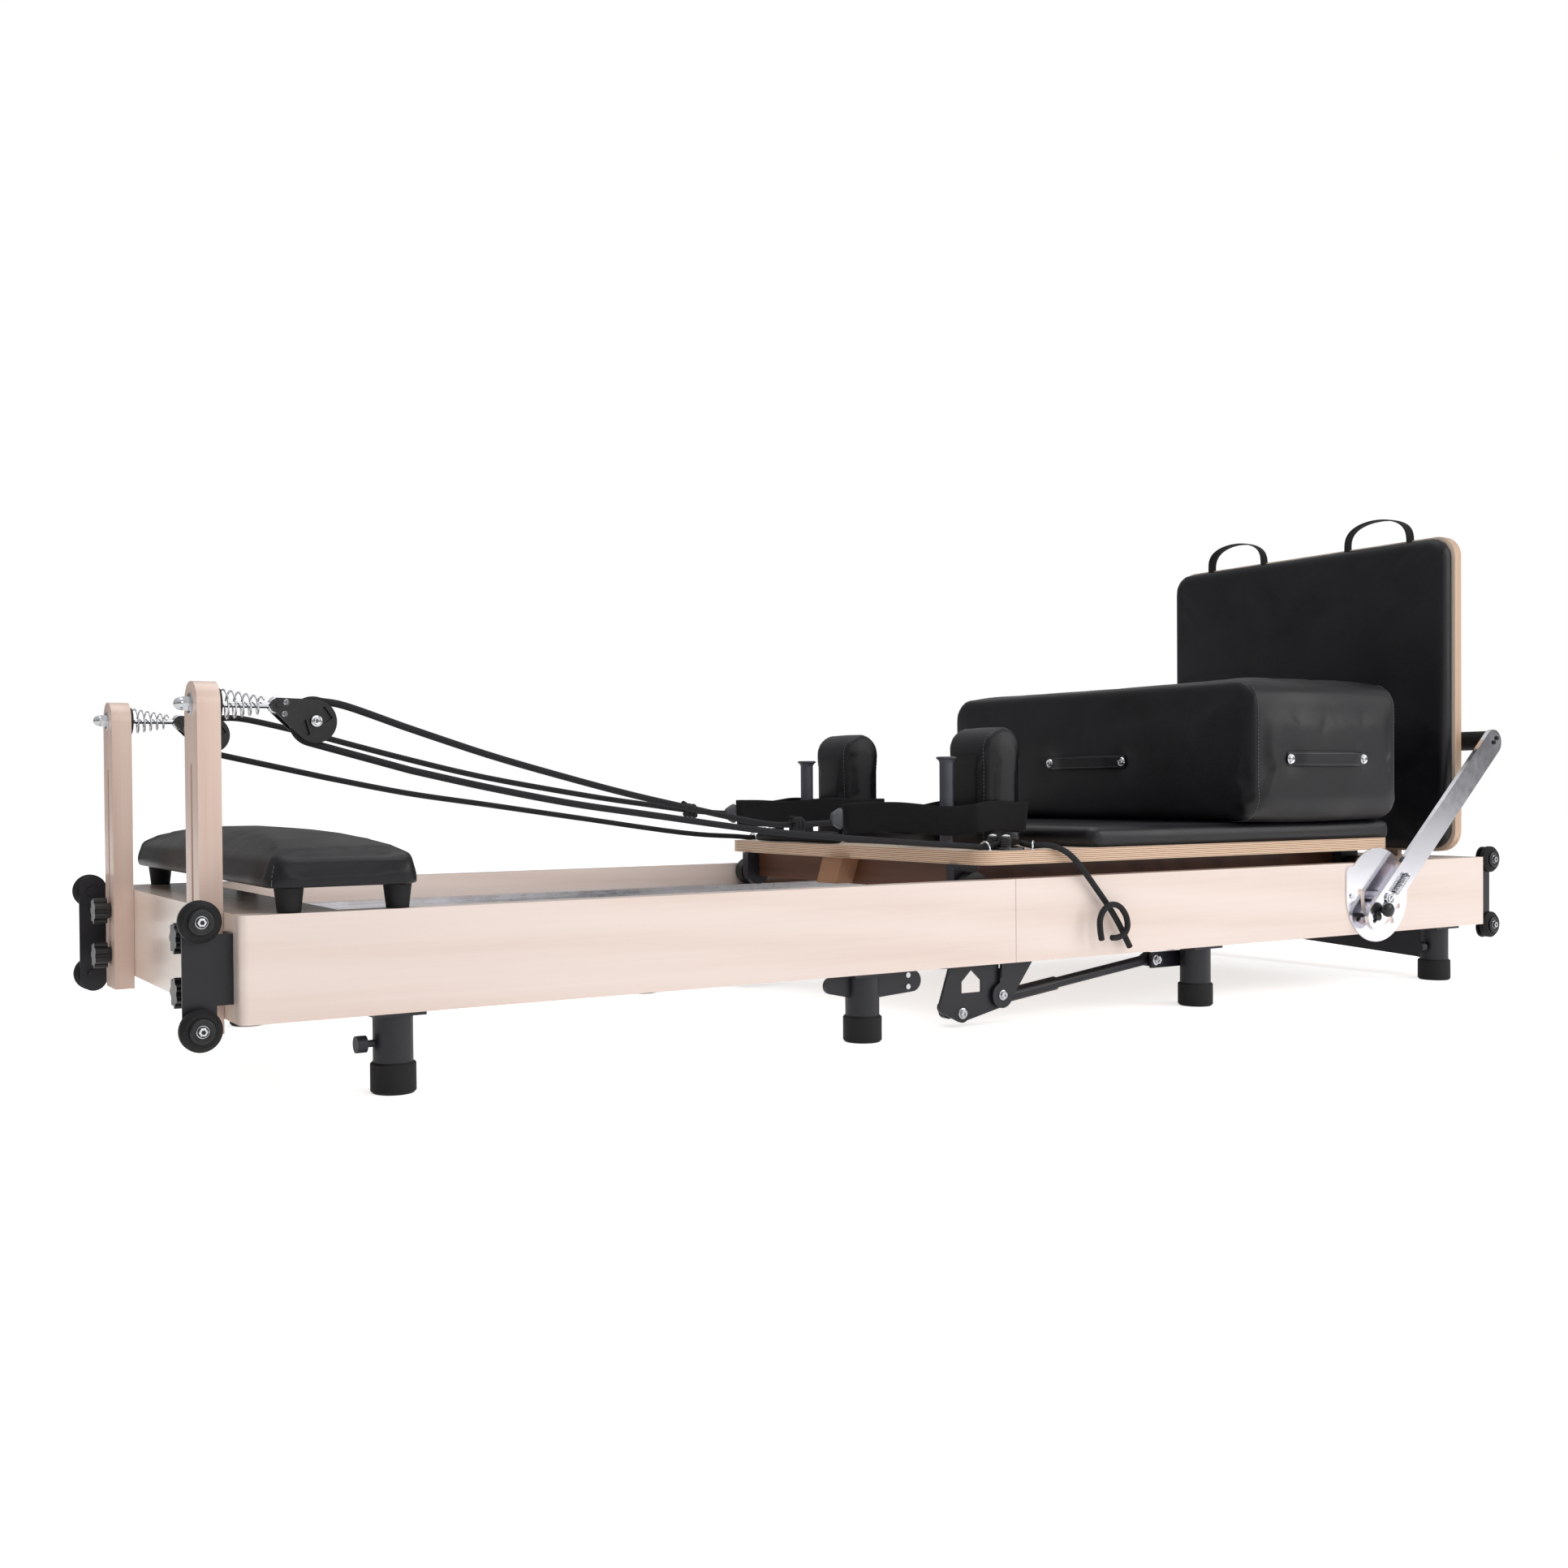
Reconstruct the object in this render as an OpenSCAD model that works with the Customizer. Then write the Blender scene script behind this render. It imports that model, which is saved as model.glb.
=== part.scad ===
// Folding reformer: a maple frame in two halves on eight legs, hinged across the middle,
// with a sprung carriage, two pulley posts, a foot bar, a jump board, a sitting box and a
// padded step. +X runs along the length towards the foot bar, -Y is the near side, the floor
// is z = 0 and the fold is at x = 0.

/* [Frame] */
// Length of each folding half
half_len = 1175; // [1165:1:1185]
// Overall width across the two side rails
frame_w = 725.4; // [724:0.2:727]
// Thickness of a side rail
rail_t = 29.7; // [29:0.1:30]
// Height of a side rail
rail_h = 127; // [125:1:129]
// Height of the underside of the rails above the floor
leg_h = 100; // [100:1:102]
// Height of the fold's pivot above the floor
hinge_z = 47; // [47:0.5:48]
// Thickness of the end panels
panel_t = 30; // [26:1:32]
// Thickness of the fixed boards at the two ends
deck_t = 18; // [15:1:18]

/* [Legs and wheels] */
// Diameter of a leg tube
leg_d = 49.5; // [48:0.5:50]
// Diameter of a rubber leg cup
cup_d = 56.5; // [55:0.5:57]
// Height of a rubber leg cup
cup_h = 38; // [34:1:40]
// Diameter of an end wheel
end_wheel_d = 49.6; // [46:0.2:50]
// Distance of the end wheels' axles from the fold
end_wheel_x = 1216; // [1215:1:1218]
// Diameter of a carriage wheel
roller_d = 47.4; // [46:0.2:47.4]

/* [Pulley posts] */
// Width of a post
post_w = 64; // [60:1:66]
// Thickness of a post
post_t = 28; // [24:1:28]
// Height of a post
post_h = 420; // [410:1:430]
// Distance of a post's middle from the centre line
post_y = 258; // [256:1:260]
// Width of the slot in a post
slot_w = 9; // [8.6:0.1:10]
// Radius of a pulley sheave
sheave_r = 26; // [25:0.5:26]

/* [Carriage] */
// Length of the carriage board
board_len = 965; // [955:1:970]
// Thickness of the carriage board
board_t = 21; // [18:1:21]
// Height of the underside of the carriage board
board_z = 249.5; // [249:0.5:250]
// Height of the leather pad
pad_h = 33.5; // [28:0.5:34]
// Height of a shoulder rest
rest_h = 196.5; // [180:0.5:200]

/* [Fittings] */
// Length of the sitting box along the frame
box_l = 386; // [380:1:390]
// Width of the sitting box across the frame
box_w = 779; // [760:1:780]
// Height of the sitting box
box_h = 245.5; // [235:0.5:250]
// Width of the jump board
jump_w = 670; // [640:1:672]
// Height of the jump board above its tongues
jump_h = 601; // [580:1:610]
// Distance from the foot bar's pivot to its roller
bar_reach = 421.6; // [418:0.1:423]
// Diameter of the padded foot bar roller
bar_d = 36; // [32:1:36]
// Diameter of a rope
rope_d = 9.4; // [8:0.2:9.6]

/* [Hidden] */
$fn = 64;

// colours
maple = "#e6d3c2";
ply = "#c9a985";
walnut = "#7a4c33";
powder = "#1d1e22";
black_rubber = "#17181a";
leather = "#222426";
webbing = "#141416";
bright = "#c9ccd0";
silver = "#b4b6ba";

// frame
rail_out = frame_w / 2;
rail_in = rail_out - rail_t;
rail_top = leg_h + rail_h;
fold_gap = 0.5;
deck_z = rail_top - deck_t;
left_deck_l = 95;
right_deck_l = 85;
deck_fit = 0.7;
track_w = 30;
track_t = 8;
roller_clear = 0.3;
roller_z = 214;
track_top = roller_z - roller_d / 2 - roller_clear;
fit = 0.05;

// legs
leg_y = 333;
leg_x_right = [422, 1062];
leg_x_left = [269, 982];
strut_y = 289;
strut_pin_r = 5;
strut_b = [-75, 23.7];
strut_c = [358, 77];

// end wheels
end_wheel_z = [96, 221];
end_wheel_w = 20;
end_wheel_y = 344;
axle_r = 4;

// pulley posts
post_z0 = 82;
knob_z = [131, 196];
eye_z = 475;
stud_r = 4;
swivel = [-1100, eye_z];
sheave_c = [-1054, 456];
sheave_w = 13;
rope_wrap_r = sheave_r + 0.7;

// carriage
board_x = -64;
board_top = board_z + board_t;
pad_top = board_top + pad_h;
roller_x = [-47, 860];
roller_y = 316;
roller_w = 20;
rest_x = [50, 127];
rest_y = [137, 243];
peg_at = [3, 197];
cleat_at = [8, -326];

// sitting box and jump board
box_x = 502;
jump_z = 237;
jump_x = 1125;
ply_t = 18;
tongue_y = 180;

// foot bar
bar_pivot = [858, 163];
bar_angle = 42.4;
arm_w = 47;
arm_t = 8;
arm_y = 382;
tail_r = 46;
latch_throw = 10;
latch_r = 4;
notch_angles = [166.5, 222.4, 310, 342.5];

// step
stool_x = -1050;
stool_feet = [-1112, -978];

// routes of the ropes, from the loop's ring round the sheave to the cleat
near_y = -post_y;
far_y = post_y;
near_upper = [[-166, -128, 313], [-230, -126, 311], [-310, -136, 314], [-456, -161, 340], [-570, -180, 362],
  [-690, -199, 389], [-805, -218, 417], [-930, -240, 452]];
near_lower = [[-930, -266, 395], [-830, -274, 373], [-715, -283, 351], [-600, -292, 334],
  [-440, -303, 311], [-340, -310, 300], [-200, -319, 288], [-70, -326, 278.5], [-31, -327.4, 276], [6, -326, 280.5]];
far_upper = [[-166, 192, 324], [-232, 200, 329], [-320, 207, 341], [-430, 215, 357], [-614, 227, 389],
  [-750, 237, 420], [-875, 246, 452]];
far_lower = [[-872, 272, 391], [-733, 283, 365], [-584, 295, 344], [-422, 310, 321],
  [-190, 320, 288], [-70, 326, 278.5], [-31, 327.4, 276], [6, 326, 280.5]];
tail_route = [[38.5, -332, 280.5], [50, -346.5, 276.4], [63, -360, 277.5], [78, -370, 273.5], [96, -375, 264],
  [116, -376, 248], [138, -375, 226], [160, -374, 203], [184, -374, 176], [204, -374, 150], [218, -374, 128],
  [228, -374, 112]];
knot_route = [[156, -385, 128], [152, -386, 144], [152, -386, 160], [160, -386, 174],
  [176, -386, 182], [194, -386, 178], [206, -387, 164], [210, -387, 148], [204, -387, 136],
  [190, -387, 130], [176, -386.5, 130]];

function unit(v) = v / norm(v);
// outline that wraps two circles, for plates and cheeks
function wrap_points(r1, d, r2) = let (a = acos((r1 - r2) / d))
  [[r1 * cos(a), r1 * sin(a)], [d + r2 * cos(a), r2 * sin(a)],
   [d + r2 * cos(a), -r2 * sin(a)], [r1 * cos(a), -r1 * sin(a)]];
// smooth curve through the points of a route
function blend_points(a, b, c, d, t) = 0.5 * (2 * b + (c - a) * t
  + (2 * a - 5 * b + 4 * c - d) * t * t + (3 * b - a - 3 * c + d) * t * t * t);
function smooth(p, n) = let (e = len(p) - 1)
  [for (i = [0 : e - 1], k = [0 : n - 1])
    blend_points(p[max(i - 1, 0)], p[i], p[i + 1], p[min(i + 2, e)], k / n), p[e]];
function arc_xz(c, y, r, a0, a1, n) =
  [for (i = [0 : n]) let (a = a0 + (a1 - a0) * i / n) [c[0] + r * cos(a), y, c[1] + r * sin(a)]];

module both_sides() {
  children();
  mirror([0, 1, 0]) children();
}

// extrusions along Y, from y0 to y1, of an outline drawn in x and z
module along_y(y0, y1) {
  translate([0, y1, 0]) rotate([90, 0, 0]) linear_extrude(y1 - y0) children();
}

// extrusions along X, from x0 to x1, of an outline drawn in y and z
module along_x(x0, x1) {
  translate([x0, 0, 0]) rotate([90, 0, 90]) linear_extrude(x1 - x0) children();
}

module rod_y(x, z, y0, y1, r) {
  translate([x, y1, z]) rotate([90, 0, 0]) cylinder(r = r, h = y1 - y0);
}

module rod_x(y, z, x0, x1, r) {
  translate([x0, y, z]) rotate([0, 90, 0]) cylinder(r = r, h = x1 - x0);
}

module box(x0, x1, y0, y1, z0, z1) {
  translate([x0, y0, z0]) cube([x1 - x0, y1 - y0, z1 - z0]);
}

module round_rect(x0, x1, y0, y1, r) {
  translate([x0 + r, y0]) square([x1 - x0 - 2 * r, y1 - y0]);
  translate([x0, y0 + r]) square([x1 - x0, y1 - y0 - 2 * r]);
  for (x = [x0 + r, x1 - r], y = [y0 + r, y1 - r]) translate([x, y]) circle(r = r);
}

// plate outline around two circles
module wrap(p, r1, q, r2) {
  d = norm(q - p);
  translate(p) rotate(atan2(q[1] - p[1], q[0] - p[0])) {
    circle(r = r1);
    translate([d, 0]) circle(r = r2);
    polygon(wrap_points(r1, d, r2));
  }
}

// round tube swept along points, with flat ends
module sweep(points, r, sides = 8) {
  e = len(points) - 1;
  rings = [for (i = [0 : e])
    let (t = unit(points[min(i + 1, e)] - points[max(i - 1, 0)]),
         u = unit(cross(t, [0, 0, 1])), v = cross(t, u))
    [for (k = [0 : sides - 1]) points[i] + r * (cos(360 * k / sides) * u + sin(360 * k / sides) * v)]];
  polyhedron(
    points = [for (ring = rings) each ring],
    faces = concat(
      [[for (k = [0 : sides - 1]) k]],
      [for (i = [0 : e - 1], k = [0 : sides - 1]) let (n = (k + 1) % sides)
        each [[i * sides + k, (i + 1) * sides + k, i * sides + n],
              [i * sides + n, (i + 1) * sides + k, (i + 1) * sides + n]]],
      [[for (k = [sides - 1 : -1 : 0]) e * sides + k]]));
}

// ---- frame ----

module rail() {
  corner = 10;
  translate([0, 0, leg_h]) linear_extrude(rail_h) {
    translate([fold_gap, rail_in]) square([half_len - fold_gap - corner, rail_t]);
    translate([fold_gap, rail_in]) square([half_len - fold_gap, rail_t - corner]);
    translate([half_len - corner, rail_out - corner]) circle(r = corner);
  }
}

module rails_right() color(maple) both_sides() rail();
module rails_left() color(maple) mirror([1, 0, 0]) both_sides() rail();

module end_boards_right() {
  color(maple) {
    box(half_len - panel_t, half_len, -rail_in, rail_in, leg_h, rail_top);
    difference() {
      box(half_len - panel_t - right_deck_l, half_len - panel_t, -rail_in, rail_in, deck_z, rail_top);
      both_sides() box(jump_x + 2.4, jump_x + 15.6, tongue_y - 30.6, tongue_y + 30.6, deck_z - 1, rail_top + 1);
    }
    box(jump_x - 10, half_len - panel_t, -300, 300, deck_z - 38, deck_z - 18);
  }
}

module end_boards_left() {
  color(maple) {
    difference() {
      box(-half_len, panel_t - half_len, -rail_in, rail_in, leg_h, rail_top);
      both_sides() for (z = knob_z) rod_x(post_y, z, -half_len - 1, panel_t - half_len + 1, stud_r + 0.3);
    }
    box(panel_t - half_len, panel_t - half_len + left_deck_l, -rail_in, rail_in, deck_z, rail_top);
    box(panel_t - half_len + left_deck_l - 18, panel_t - half_len + left_deck_l, -300, 300, deck_z - 60, deck_z);
  }
}

module track(x0, x1) {
  box(x0, x1, rail_in - track_w, rail_in, track_top - track_t, track_top);
  box(x0, x1, rail_in - 3, rail_in, track_top - track_t - 12, track_top - track_t);
}

module tracks_right() color(silver) both_sides() track(fold_gap, half_len - panel_t - right_deck_l - 10);
module tracks_left() color(silver) both_sides() track(panel_t - half_len + left_deck_l, -fold_gap);

module leg(x) {
  difference() {
    translate([x, leg_y, 4]) cylinder(d = leg_d, h = leg_h - 8);
    translate([x, leg_y, 3]) cylinder(d = leg_d - 6, h = leg_h - 11);
  }
  box(x - 33, x + 33, 302, rail_out - 0.7, leg_h - 4, leg_h);
  box(x - 33, x + 33, rail_in - 5, rail_in, leg_h, leg_h + 50);
}

// wing knob that pins a leg, on the side given by dir
module leg_knob(x, dir) {
  translate([x, leg_y, 62]) rotate([0, 90 * dir, 0]) {
    translate([0, 0, leg_d / 2 - 1]) cylinder(d = 9, h = 12);
    translate([0, 0, leg_d / 2 + 10]) cylinder(d = 21, h = 13);
  }
}

module legs_right() color(powder) {
  // arch between the two legs nearest the foot bar
  half_span = leg_y - 18;
  foot_z = cup_h + 1.5;
  rise = 16;
  arch_r = (half_span * half_span + rise * rise) / (2 * rise);
  both_sides() {
    for (x = leg_x_right) leg(x);
    leg_knob(leg_x_right[1], -1);
    difference() {
      box(strut_c[0] - 12, leg_x_right[0] + 8, 303, 308.6, strut_c[1] - 13, strut_c[1] + 13);
      translate([leg_x_right[0], leg_y, 0]) cylinder(d = leg_d - 2, h = leg_h);
    }
    rod_y(strut_c[0], strut_c[1], 279, 304, strut_pin_r);
    rod_y(strut_c[0], strut_c[1], 276, 280, 8);
  }
  along_x(leg_x_right[1] - 11, leg_x_right[1] + 11) difference() {
    translate([-half_span, foot_z]) square([2 * half_span, leg_h - 6 - foot_z]);
    translate([0, foot_z + rise - arch_r]) circle(r = arch_r);
  }
}

module legs_left() color(powder) mirror([1, 0, 0]) both_sides() {
  for (x = leg_x_left) leg(x);
  leg_knob(leg_x_left[1], 1);
  difference() {
    along_y(leg_y - 3, leg_y + 3) {
      wrap([leg_x_left[0] - 90, 82], 16, [leg_x_left[0], 78], 18);
      wrap([leg_x_left[0] + 56, 84], 12, [leg_x_left[0], 78], 18);
    }
    translate([leg_x_left[0], leg_y, 0]) cylinder(d = leg_d - 2, h = leg_h);
  }
}

module cup(x) {
  wall = (cup_d - leg_d) / 2 - 0.05;
  translate([x, leg_y, 0]) rotate_extrude()
    polygon([[0, 0], [cup_d / 2 - 3, 0], [cup_d / 2, 3], [cup_d / 2, cup_h - 2], [cup_d / 2 - 2, cup_h],
      [cup_d / 2 - wall, cup_h], [cup_d / 2 - wall, 4], [0, 4]]);
}

module feet_right() color(black_rubber) both_sides() for (x = leg_x_right) cup(x);
module feet_left() color(black_rubber) mirror([1, 0, 0]) both_sides() for (x = leg_x_left) cup(x);

// ---- fold hinge and struts ----

module hinge_plates_right() color(powder) both_sides() {
  difference() {
    along_y(rail_in - 5.5, rail_in - 0.5) {
      translate([0, hinge_z]) circle(r = 20);
      polygon([[-6, hinge_z + 18], [2, leg_h + 60], [2, leg_h + 69], [90, leg_h + 69], [90, leg_h + 10],
        [62, leg_h - 2], [19, hinge_z - 5]]);
    }
    along_y(rail_in - 6, rail_in) translate([-4, 74]) square([2, leg_h]);
  }
  rod_y(0, hinge_z, 316, rail_in - 5, 6);
  rod_y(0, hinge_z, 312, 317, 10);
}

module hinge_plates_left() color(powder) both_sides() {
  difference() {
    along_y(rail_in - 11.5, rail_in - 6.5) {
      translate([0, hinge_z]) circle(r = 20);
      wrap(strut_b, 14, [-112, 36], 9);
      polygon([[0, hinge_z - 20], [-78, 10.2], [-121, 34], [-98, leg_h], [-98, leg_h + 70],
        [-3, leg_h + 70], [-3, hinge_z + 19.7], [12, hinge_z + 16]]);
    }
    along_y(rail_in - 12, rail_in - 6) {
      circle_at([0, hinge_z], 6 + fit);
      polygon([[-77, 54], [-77, 72], [-57, 90], [-37, 72], [-37, 54]]);
    }
  }
  box(-95, -10, rail_in - 6.5, rail_in, leg_h + 4, leg_h + 66);
  rod_y(strut_b[0], strut_b[1], strut_y + 6.8, rail_in - 11, strut_pin_r);
}

module circle_at(p, r) translate(p) circle(r = r);

// places its children with +X running from the lower strut pivot to the upper one
module on_strut() {
  d = strut_c - strut_b;
  translate([strut_b[0], strut_y, strut_b[1]]) rotate([0, -atan2(d[1], d[0]), 0]) children();
}

strut_len = norm(strut_c - strut_b);
strut_bore = 8.6;

module strut_cylinders() color(powder) both_sides() on_strut() {
  difference() {
    union() {
      translate([6, -5, -5]) cube([12, 10, 10]);
      rod_x(0, 0, 16, 224, 11);
    }
    rod_x(0, 0, 36, 225, strut_bore);
  }
  rod_y(0, 0, -6, 6, 12);
  rod_y(0, 0, -10, -5, 8);
}

module strut_rods() color(silver) both_sides() on_strut() {
  rod_x(0, 0, 198, strut_len - 10, strut_bore - 0.08);
  difference() {
    rod_y(strut_len, 0, -6, 6, 12);
    rod_y(strut_len, 0, -7, 7, strut_pin_r + fit);
  }
}

// ---- end wheels ----

module wheel_bracket() {
  y0 = end_wheel_y - end_wheel_w / 2 - 4;
  along_y(y0, y0 + 3) {
    wrap([end_wheel_x - 2, 90], 19.75, [end_wheel_x - 2, 225], 19.75);
    translate([half_len, 122]) square([end_wheel_x - half_len, 83]);
  }
  box(half_len, half_len + 3, 296, y0 + 1, 122, 205);
  for (z = end_wheel_z) {
    rod_y(end_wheel_x, z, y0 - 5, y0 + 1, 7);
    rod_y(end_wheel_x, z, y0, end_wheel_y + end_wheel_w / 2 + 1, axle_r);
    rod_y(end_wheel_x, z, end_wheel_y + end_wheel_w / 2 + 0.4, end_wheel_y + end_wheel_w / 2 + 3, 6.5);
  }
}

module wheel_brackets_right() color(powder) both_sides() wheel_bracket();
module wheel_brackets_left() color(powder) mirror([1, 0, 0]) both_sides() wheel_bracket();

module end_wheels(x, z) color(black_rubber) both_sides() difference() {
  translate([x, end_wheel_y, z]) rotate([90, 0, 0]) rotate_extrude() {
    r = end_wheel_d / 2;
    h = end_wheel_w / 2;
    polygon([[axle_r + fit, -h], [12, -h], [12, 1.5 - h], [r - 5, 1.5 - h], [r, 6.5 - h],
      [r, h - 6.5], [r - 5, h - 1.5], [12, h - 1.5], [12, h], [axle_r + fit, h]]);
  }
}

module wheels_left_upper() end_wheels(-end_wheel_x, end_wheel_z[1]);
module wheels_left_lower() end_wheels(-end_wheel_x, end_wheel_z[0]);
module wheels_right_upper() end_wheels(end_wheel_x, end_wheel_z[1]);
module wheels_right_lower() end_wheels(end_wheel_x, end_wheel_z[0]);

// ---- pulley posts ----

module post(y) color(maple) {
  x0 = -half_len - post_t;
  corner = 28;
  difference() {
    along_x(x0, -half_len - 0.3) {
      translate([y - post_w / 2, post_z0]) square([post_w, post_h - corner]);
      translate([y - post_w / 2 + corner, post_z0]) square([post_w - 2 * corner, post_h]);
      for (s = [-1, 1]) translate([y + s * (post_w / 2 - corner), post_z0 + post_h - corner]) circle(r = corner);
    }
    along_x(x0 - 1, 1 - half_len) {
      translate([y - slot_w / 2, 122]) square([slot_w, 278]);
      for (z = [122, 400]) translate([y, z]) circle(d = slot_w);
    }
    rod_x(y, eye_z, x0 - 1, 1 - half_len, stud_r + 0.3);
  }
}

module post_near() post(-post_y);
module post_far() post(post_y);

module post_fittings(y) color(bright) {
  x0 = -half_len - post_t;
  // dome nut and the eyebolt's shank
  translate([x0, y, eye_z]) rotate([0, -90, 0]) rotate_extrude()
    polygon([[0, 0], [11, 0], [11, 3], [8.5, 4], [8.5, 13], [6, 18], [0, 20]]);
  rod_x(y, eye_z, x0 - 1, swivel[0] - 11, stud_r);
  // rubber disc
  rod_x(y, eye_z, -half_len, 6 - half_len, 21);
  // eye
  translate([swivel[0], y, swivel[1]]) rotate([90, 0, 0]) rotate_extrude() translate([8.5, 0]) circle(r = 2.8, $fn = 24);
  // cone spring, one ring for each coil
  for (k = [0 : 5]) translate([-half_len + 9 + 9.6 * k, y, eye_z]) rotate([0, 90, 0])
    rotate_extrude() translate([17.5 - 1.5 * k, 0]) circle(r = 1.7, $fn = 16);
}

module post_fittings_near() post_fittings(-post_y);
module post_fittings_far() post_fittings(post_y);

module pulley_block(y) color(powder) {
  for (s = [-1, 1]) {
    y_mid = y + s * 9.2;
    difference() {
      along_y(y_mid - 1.4, y_mid + 1.4) wrap(swivel, 9, sheave_c, 27);
      along_y(y_mid - 2, y_mid + 2) translate(sheave_c) for (a = [35, 215])
        rotate(a) polygon([[9, -9], [20, -9], [20, 9], [15, 9]]);
    }
  }
  rod_y(swivel[0], swivel[1], y - 12.5, y + 12.5, 3.2);
  rod_y(sheave_c[0], sheave_c[1], y - 12.5, y + 12.5, axle_r);
  for (s = [-1, 1]) rod_y(sheave_c[0], sheave_c[1], y + s * 12 - 2, y + s * 12 + 2, 7);
}

module pulley_block_near() pulley_block(-post_y);
module pulley_block_far() pulley_block(post_y);

module sheave(y) color(black_rubber) {
  groove = rope_d / 2 + 0.3;
  h = sheave_w / 2;
  translate([sheave_c[0], y, sheave_c[1]]) rotate([90, 0, 0]) rotate_extrude() difference() {
    translate([axle_r + fit, -h]) square([sheave_r - axle_r - fit, sheave_w]);
    translate([rope_wrap_r, 0]) circle(r = groove, $fn = 32);
  }
}

module sheave_near() sheave(-post_y);
module sheave_far() sheave(post_y);

module star_knob(y, z) color(powder) {
  x0 = -half_len - post_t;
  difference() {
    union() {
      along_x(x0 - 24, x0 - 5) translate([y, z]) {
        circle(r = 15);
        for (k = [0 : 6]) rotate(k * 360 / 7) translate([14.5, 0]) circle(r = 4.5, $fn = 32);
      }
      rod_x(y, z, x0 - 6, x0 - 0.3, 11);
    }
    rod_x(y, z, x0 - 14, x0, stud_r + fit);
  }
}

module knob_near_upper() star_knob(-post_y, knob_z[1]);
module knob_near_lower() star_knob(-post_y, knob_z[0]);
module knob_far_upper() star_knob(post_y, knob_z[1]);
module knob_far_lower() star_knob(post_y, knob_z[0]);

// ---- carriage ----

module carriage_board() color(ply)
  translate([0, 0, board_z]) linear_extrude(board_t)
    round_rect(board_x, board_x + board_len, -rail_out, rail_out, 32);

module carriage_pad() color(leather)
  translate([0, 0, board_top]) linear_extrude(pad_h) {
    round_rect(169, board_x + board_len + 8, -355, 355, 12);
    round_rect(20, 190, -125, 125, 12);
  }

module carriage_subframe() color(walnut) {
  both_sides() box(-45, 882, 262, 284, 205, board_z);
  for (x = [-45, 862]) box(x, x + 20, -262, 262, 205, board_z);
  // cross piece that the springs hook on
  box(spring_x[0] - 20, spring_x[0] - 0.5, -262, 262, spring_z - 12, board_z);
  // wedge under the front edge
  along_x(-80, -45) polygon([[50, 206], [31, board_z], [-26, board_z], [-6, 206]]);
}

module wheel_carriers() color(powder) both_sides() for (x = roller_x) {
  along_y(284, 302) {
    translate([x, roller_z]) circle(r = 23.4);
    translate([x - 23.4, roller_z]) square([46.8, board_z - roller_z]);
  }
  rod_y(x, roller_z, 301, 328, 5);
  rod_y(x, roller_z, 326.5, 329, 9);
}

module rollers(x) color(silver) both_sides() difference() {
  rod_y(x, roller_z, roller_y - roller_w / 2, roller_y + roller_w / 2, roller_d / 2);
  rod_y(x, roller_z, roller_y - roller_w, roller_y + roller_w, 5 + fit);
}

module carriage_wheels_front() rollers(roller_x[0]);
module carriage_wheels_rear() rollers(roller_x[1]);

module shoulder_rests() color(leather) both_sides() {
  r = (rest_x[1] - rest_x[0]) / 2;
  along_y(rest_y[0], rest_y[1]) {
    translate([rest_x[0], board_top]) square([2 * r, rest_h - r]);
    translate([rest_x[0] + r, board_top + rest_h - r]) circle(r = r);
  }
}

module peg_handles() color("#3a3c42") both_sides() translate([peg_at[0], peg_at[1], board_top]) rotate_extrude()
  polygon([[0, 0], [12.5, 0], [11.2, 12], [11.2, 137], [13, 141], [16.5, 143.5], [16.5, 145.5], [14, 146.5], [0, 146.5]]);

// wire bow that guides a rope
module fairlead(x, y, turn) translate([x, y, board_top]) rotate([90, 0, turn])
  rotate_extrude(angle = 180) translate([13, 0]) circle(r = 1.7, $fn = 16);

module cleats() {
  rope_z = 10;
  base_t = 2.2;
  both_sides() translate([cleat_at[0], -cleat_at[1], board_top]) {
    color(black_rubber) {
      linear_extrude(base_t) round_rect(-22, 28, -25, 25, 12);
      for (y = [-15, 15]) translate([-8, y, base_t]) cylinder(r = 9.5, h = 21 - base_t);
      difference() {
        translate([14, 0, base_t]) cylinder(r = 14, h = 27 - base_t);
        rod_x(0, rope_z, -1, 30, rope_d / 2 + 0.6);
      }
    }
    color(bright) for (y = [-15, 15]) translate([-8, y, 21]) cylinder(r = 7.5, h = 3);
  }
  color(bright) {
    both_sides() fairlead(-31, 327.4, 86);
    fairlead(50, -346.5, 43);
  }
}

// webbing loop round a shoulder rest, drawn as a closed upright band
function loop_outline(apex, y_in, y_out, x_end, grow) =
  [[apex[0] - 1.5 * grow, apex[1] - 5 - grow], [apex[0] - 1.5 * grow, apex[1] + 5 + grow],
   [rest_x[0] - 50, y_in + 6 + grow], [x_end - 10, y_in + 6 + grow],
   [x_end + grow, y_in - 6], [x_end + grow, y_out + 6],
   [x_end - 10, y_out - 6 - grow], [rest_x[0] - 30, y_out - 6 - grow]];

// one straight panel of webbing for each side of the loop, a hair apart
module foot_loop(apex, y_in, y_out, z) {
  inner = loop_outline(apex, y_in, y_out, rest_x[1] + 7, 0);
  outer = loop_outline(apex, y_in, y_out, rest_x[1] + 7, 4);
  gap = 0.003;
  for (i = [0 : 7]) {
    j = (i + 1) % 8;
    translate([0, 0, z]) linear_extrude(50) polygon([inner[i] + gap * (inner[j] - inner[i]),
      outer[i] + gap * (outer[j] - outer[i]), outer[j] + gap * (outer[i] - outer[j]),
      inner[j] + gap * (inner[i] - inner[j])]);
  }
}

module foot_loops() color(webbing) {
  foot_loop([-150, 190], rest_y[1], rest_y[0], 299);
  foot_loop([-150, -130], -rest_y[0], -rest_y[1], 294);
}

module hand_grip() color(black_rubber)
  translate([-43, 38, board_top + 11]) rotate([-90, 0, 3]) linear_extrude(226) round_rect(-13, 13, -10.5, 10.5, 10);

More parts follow.
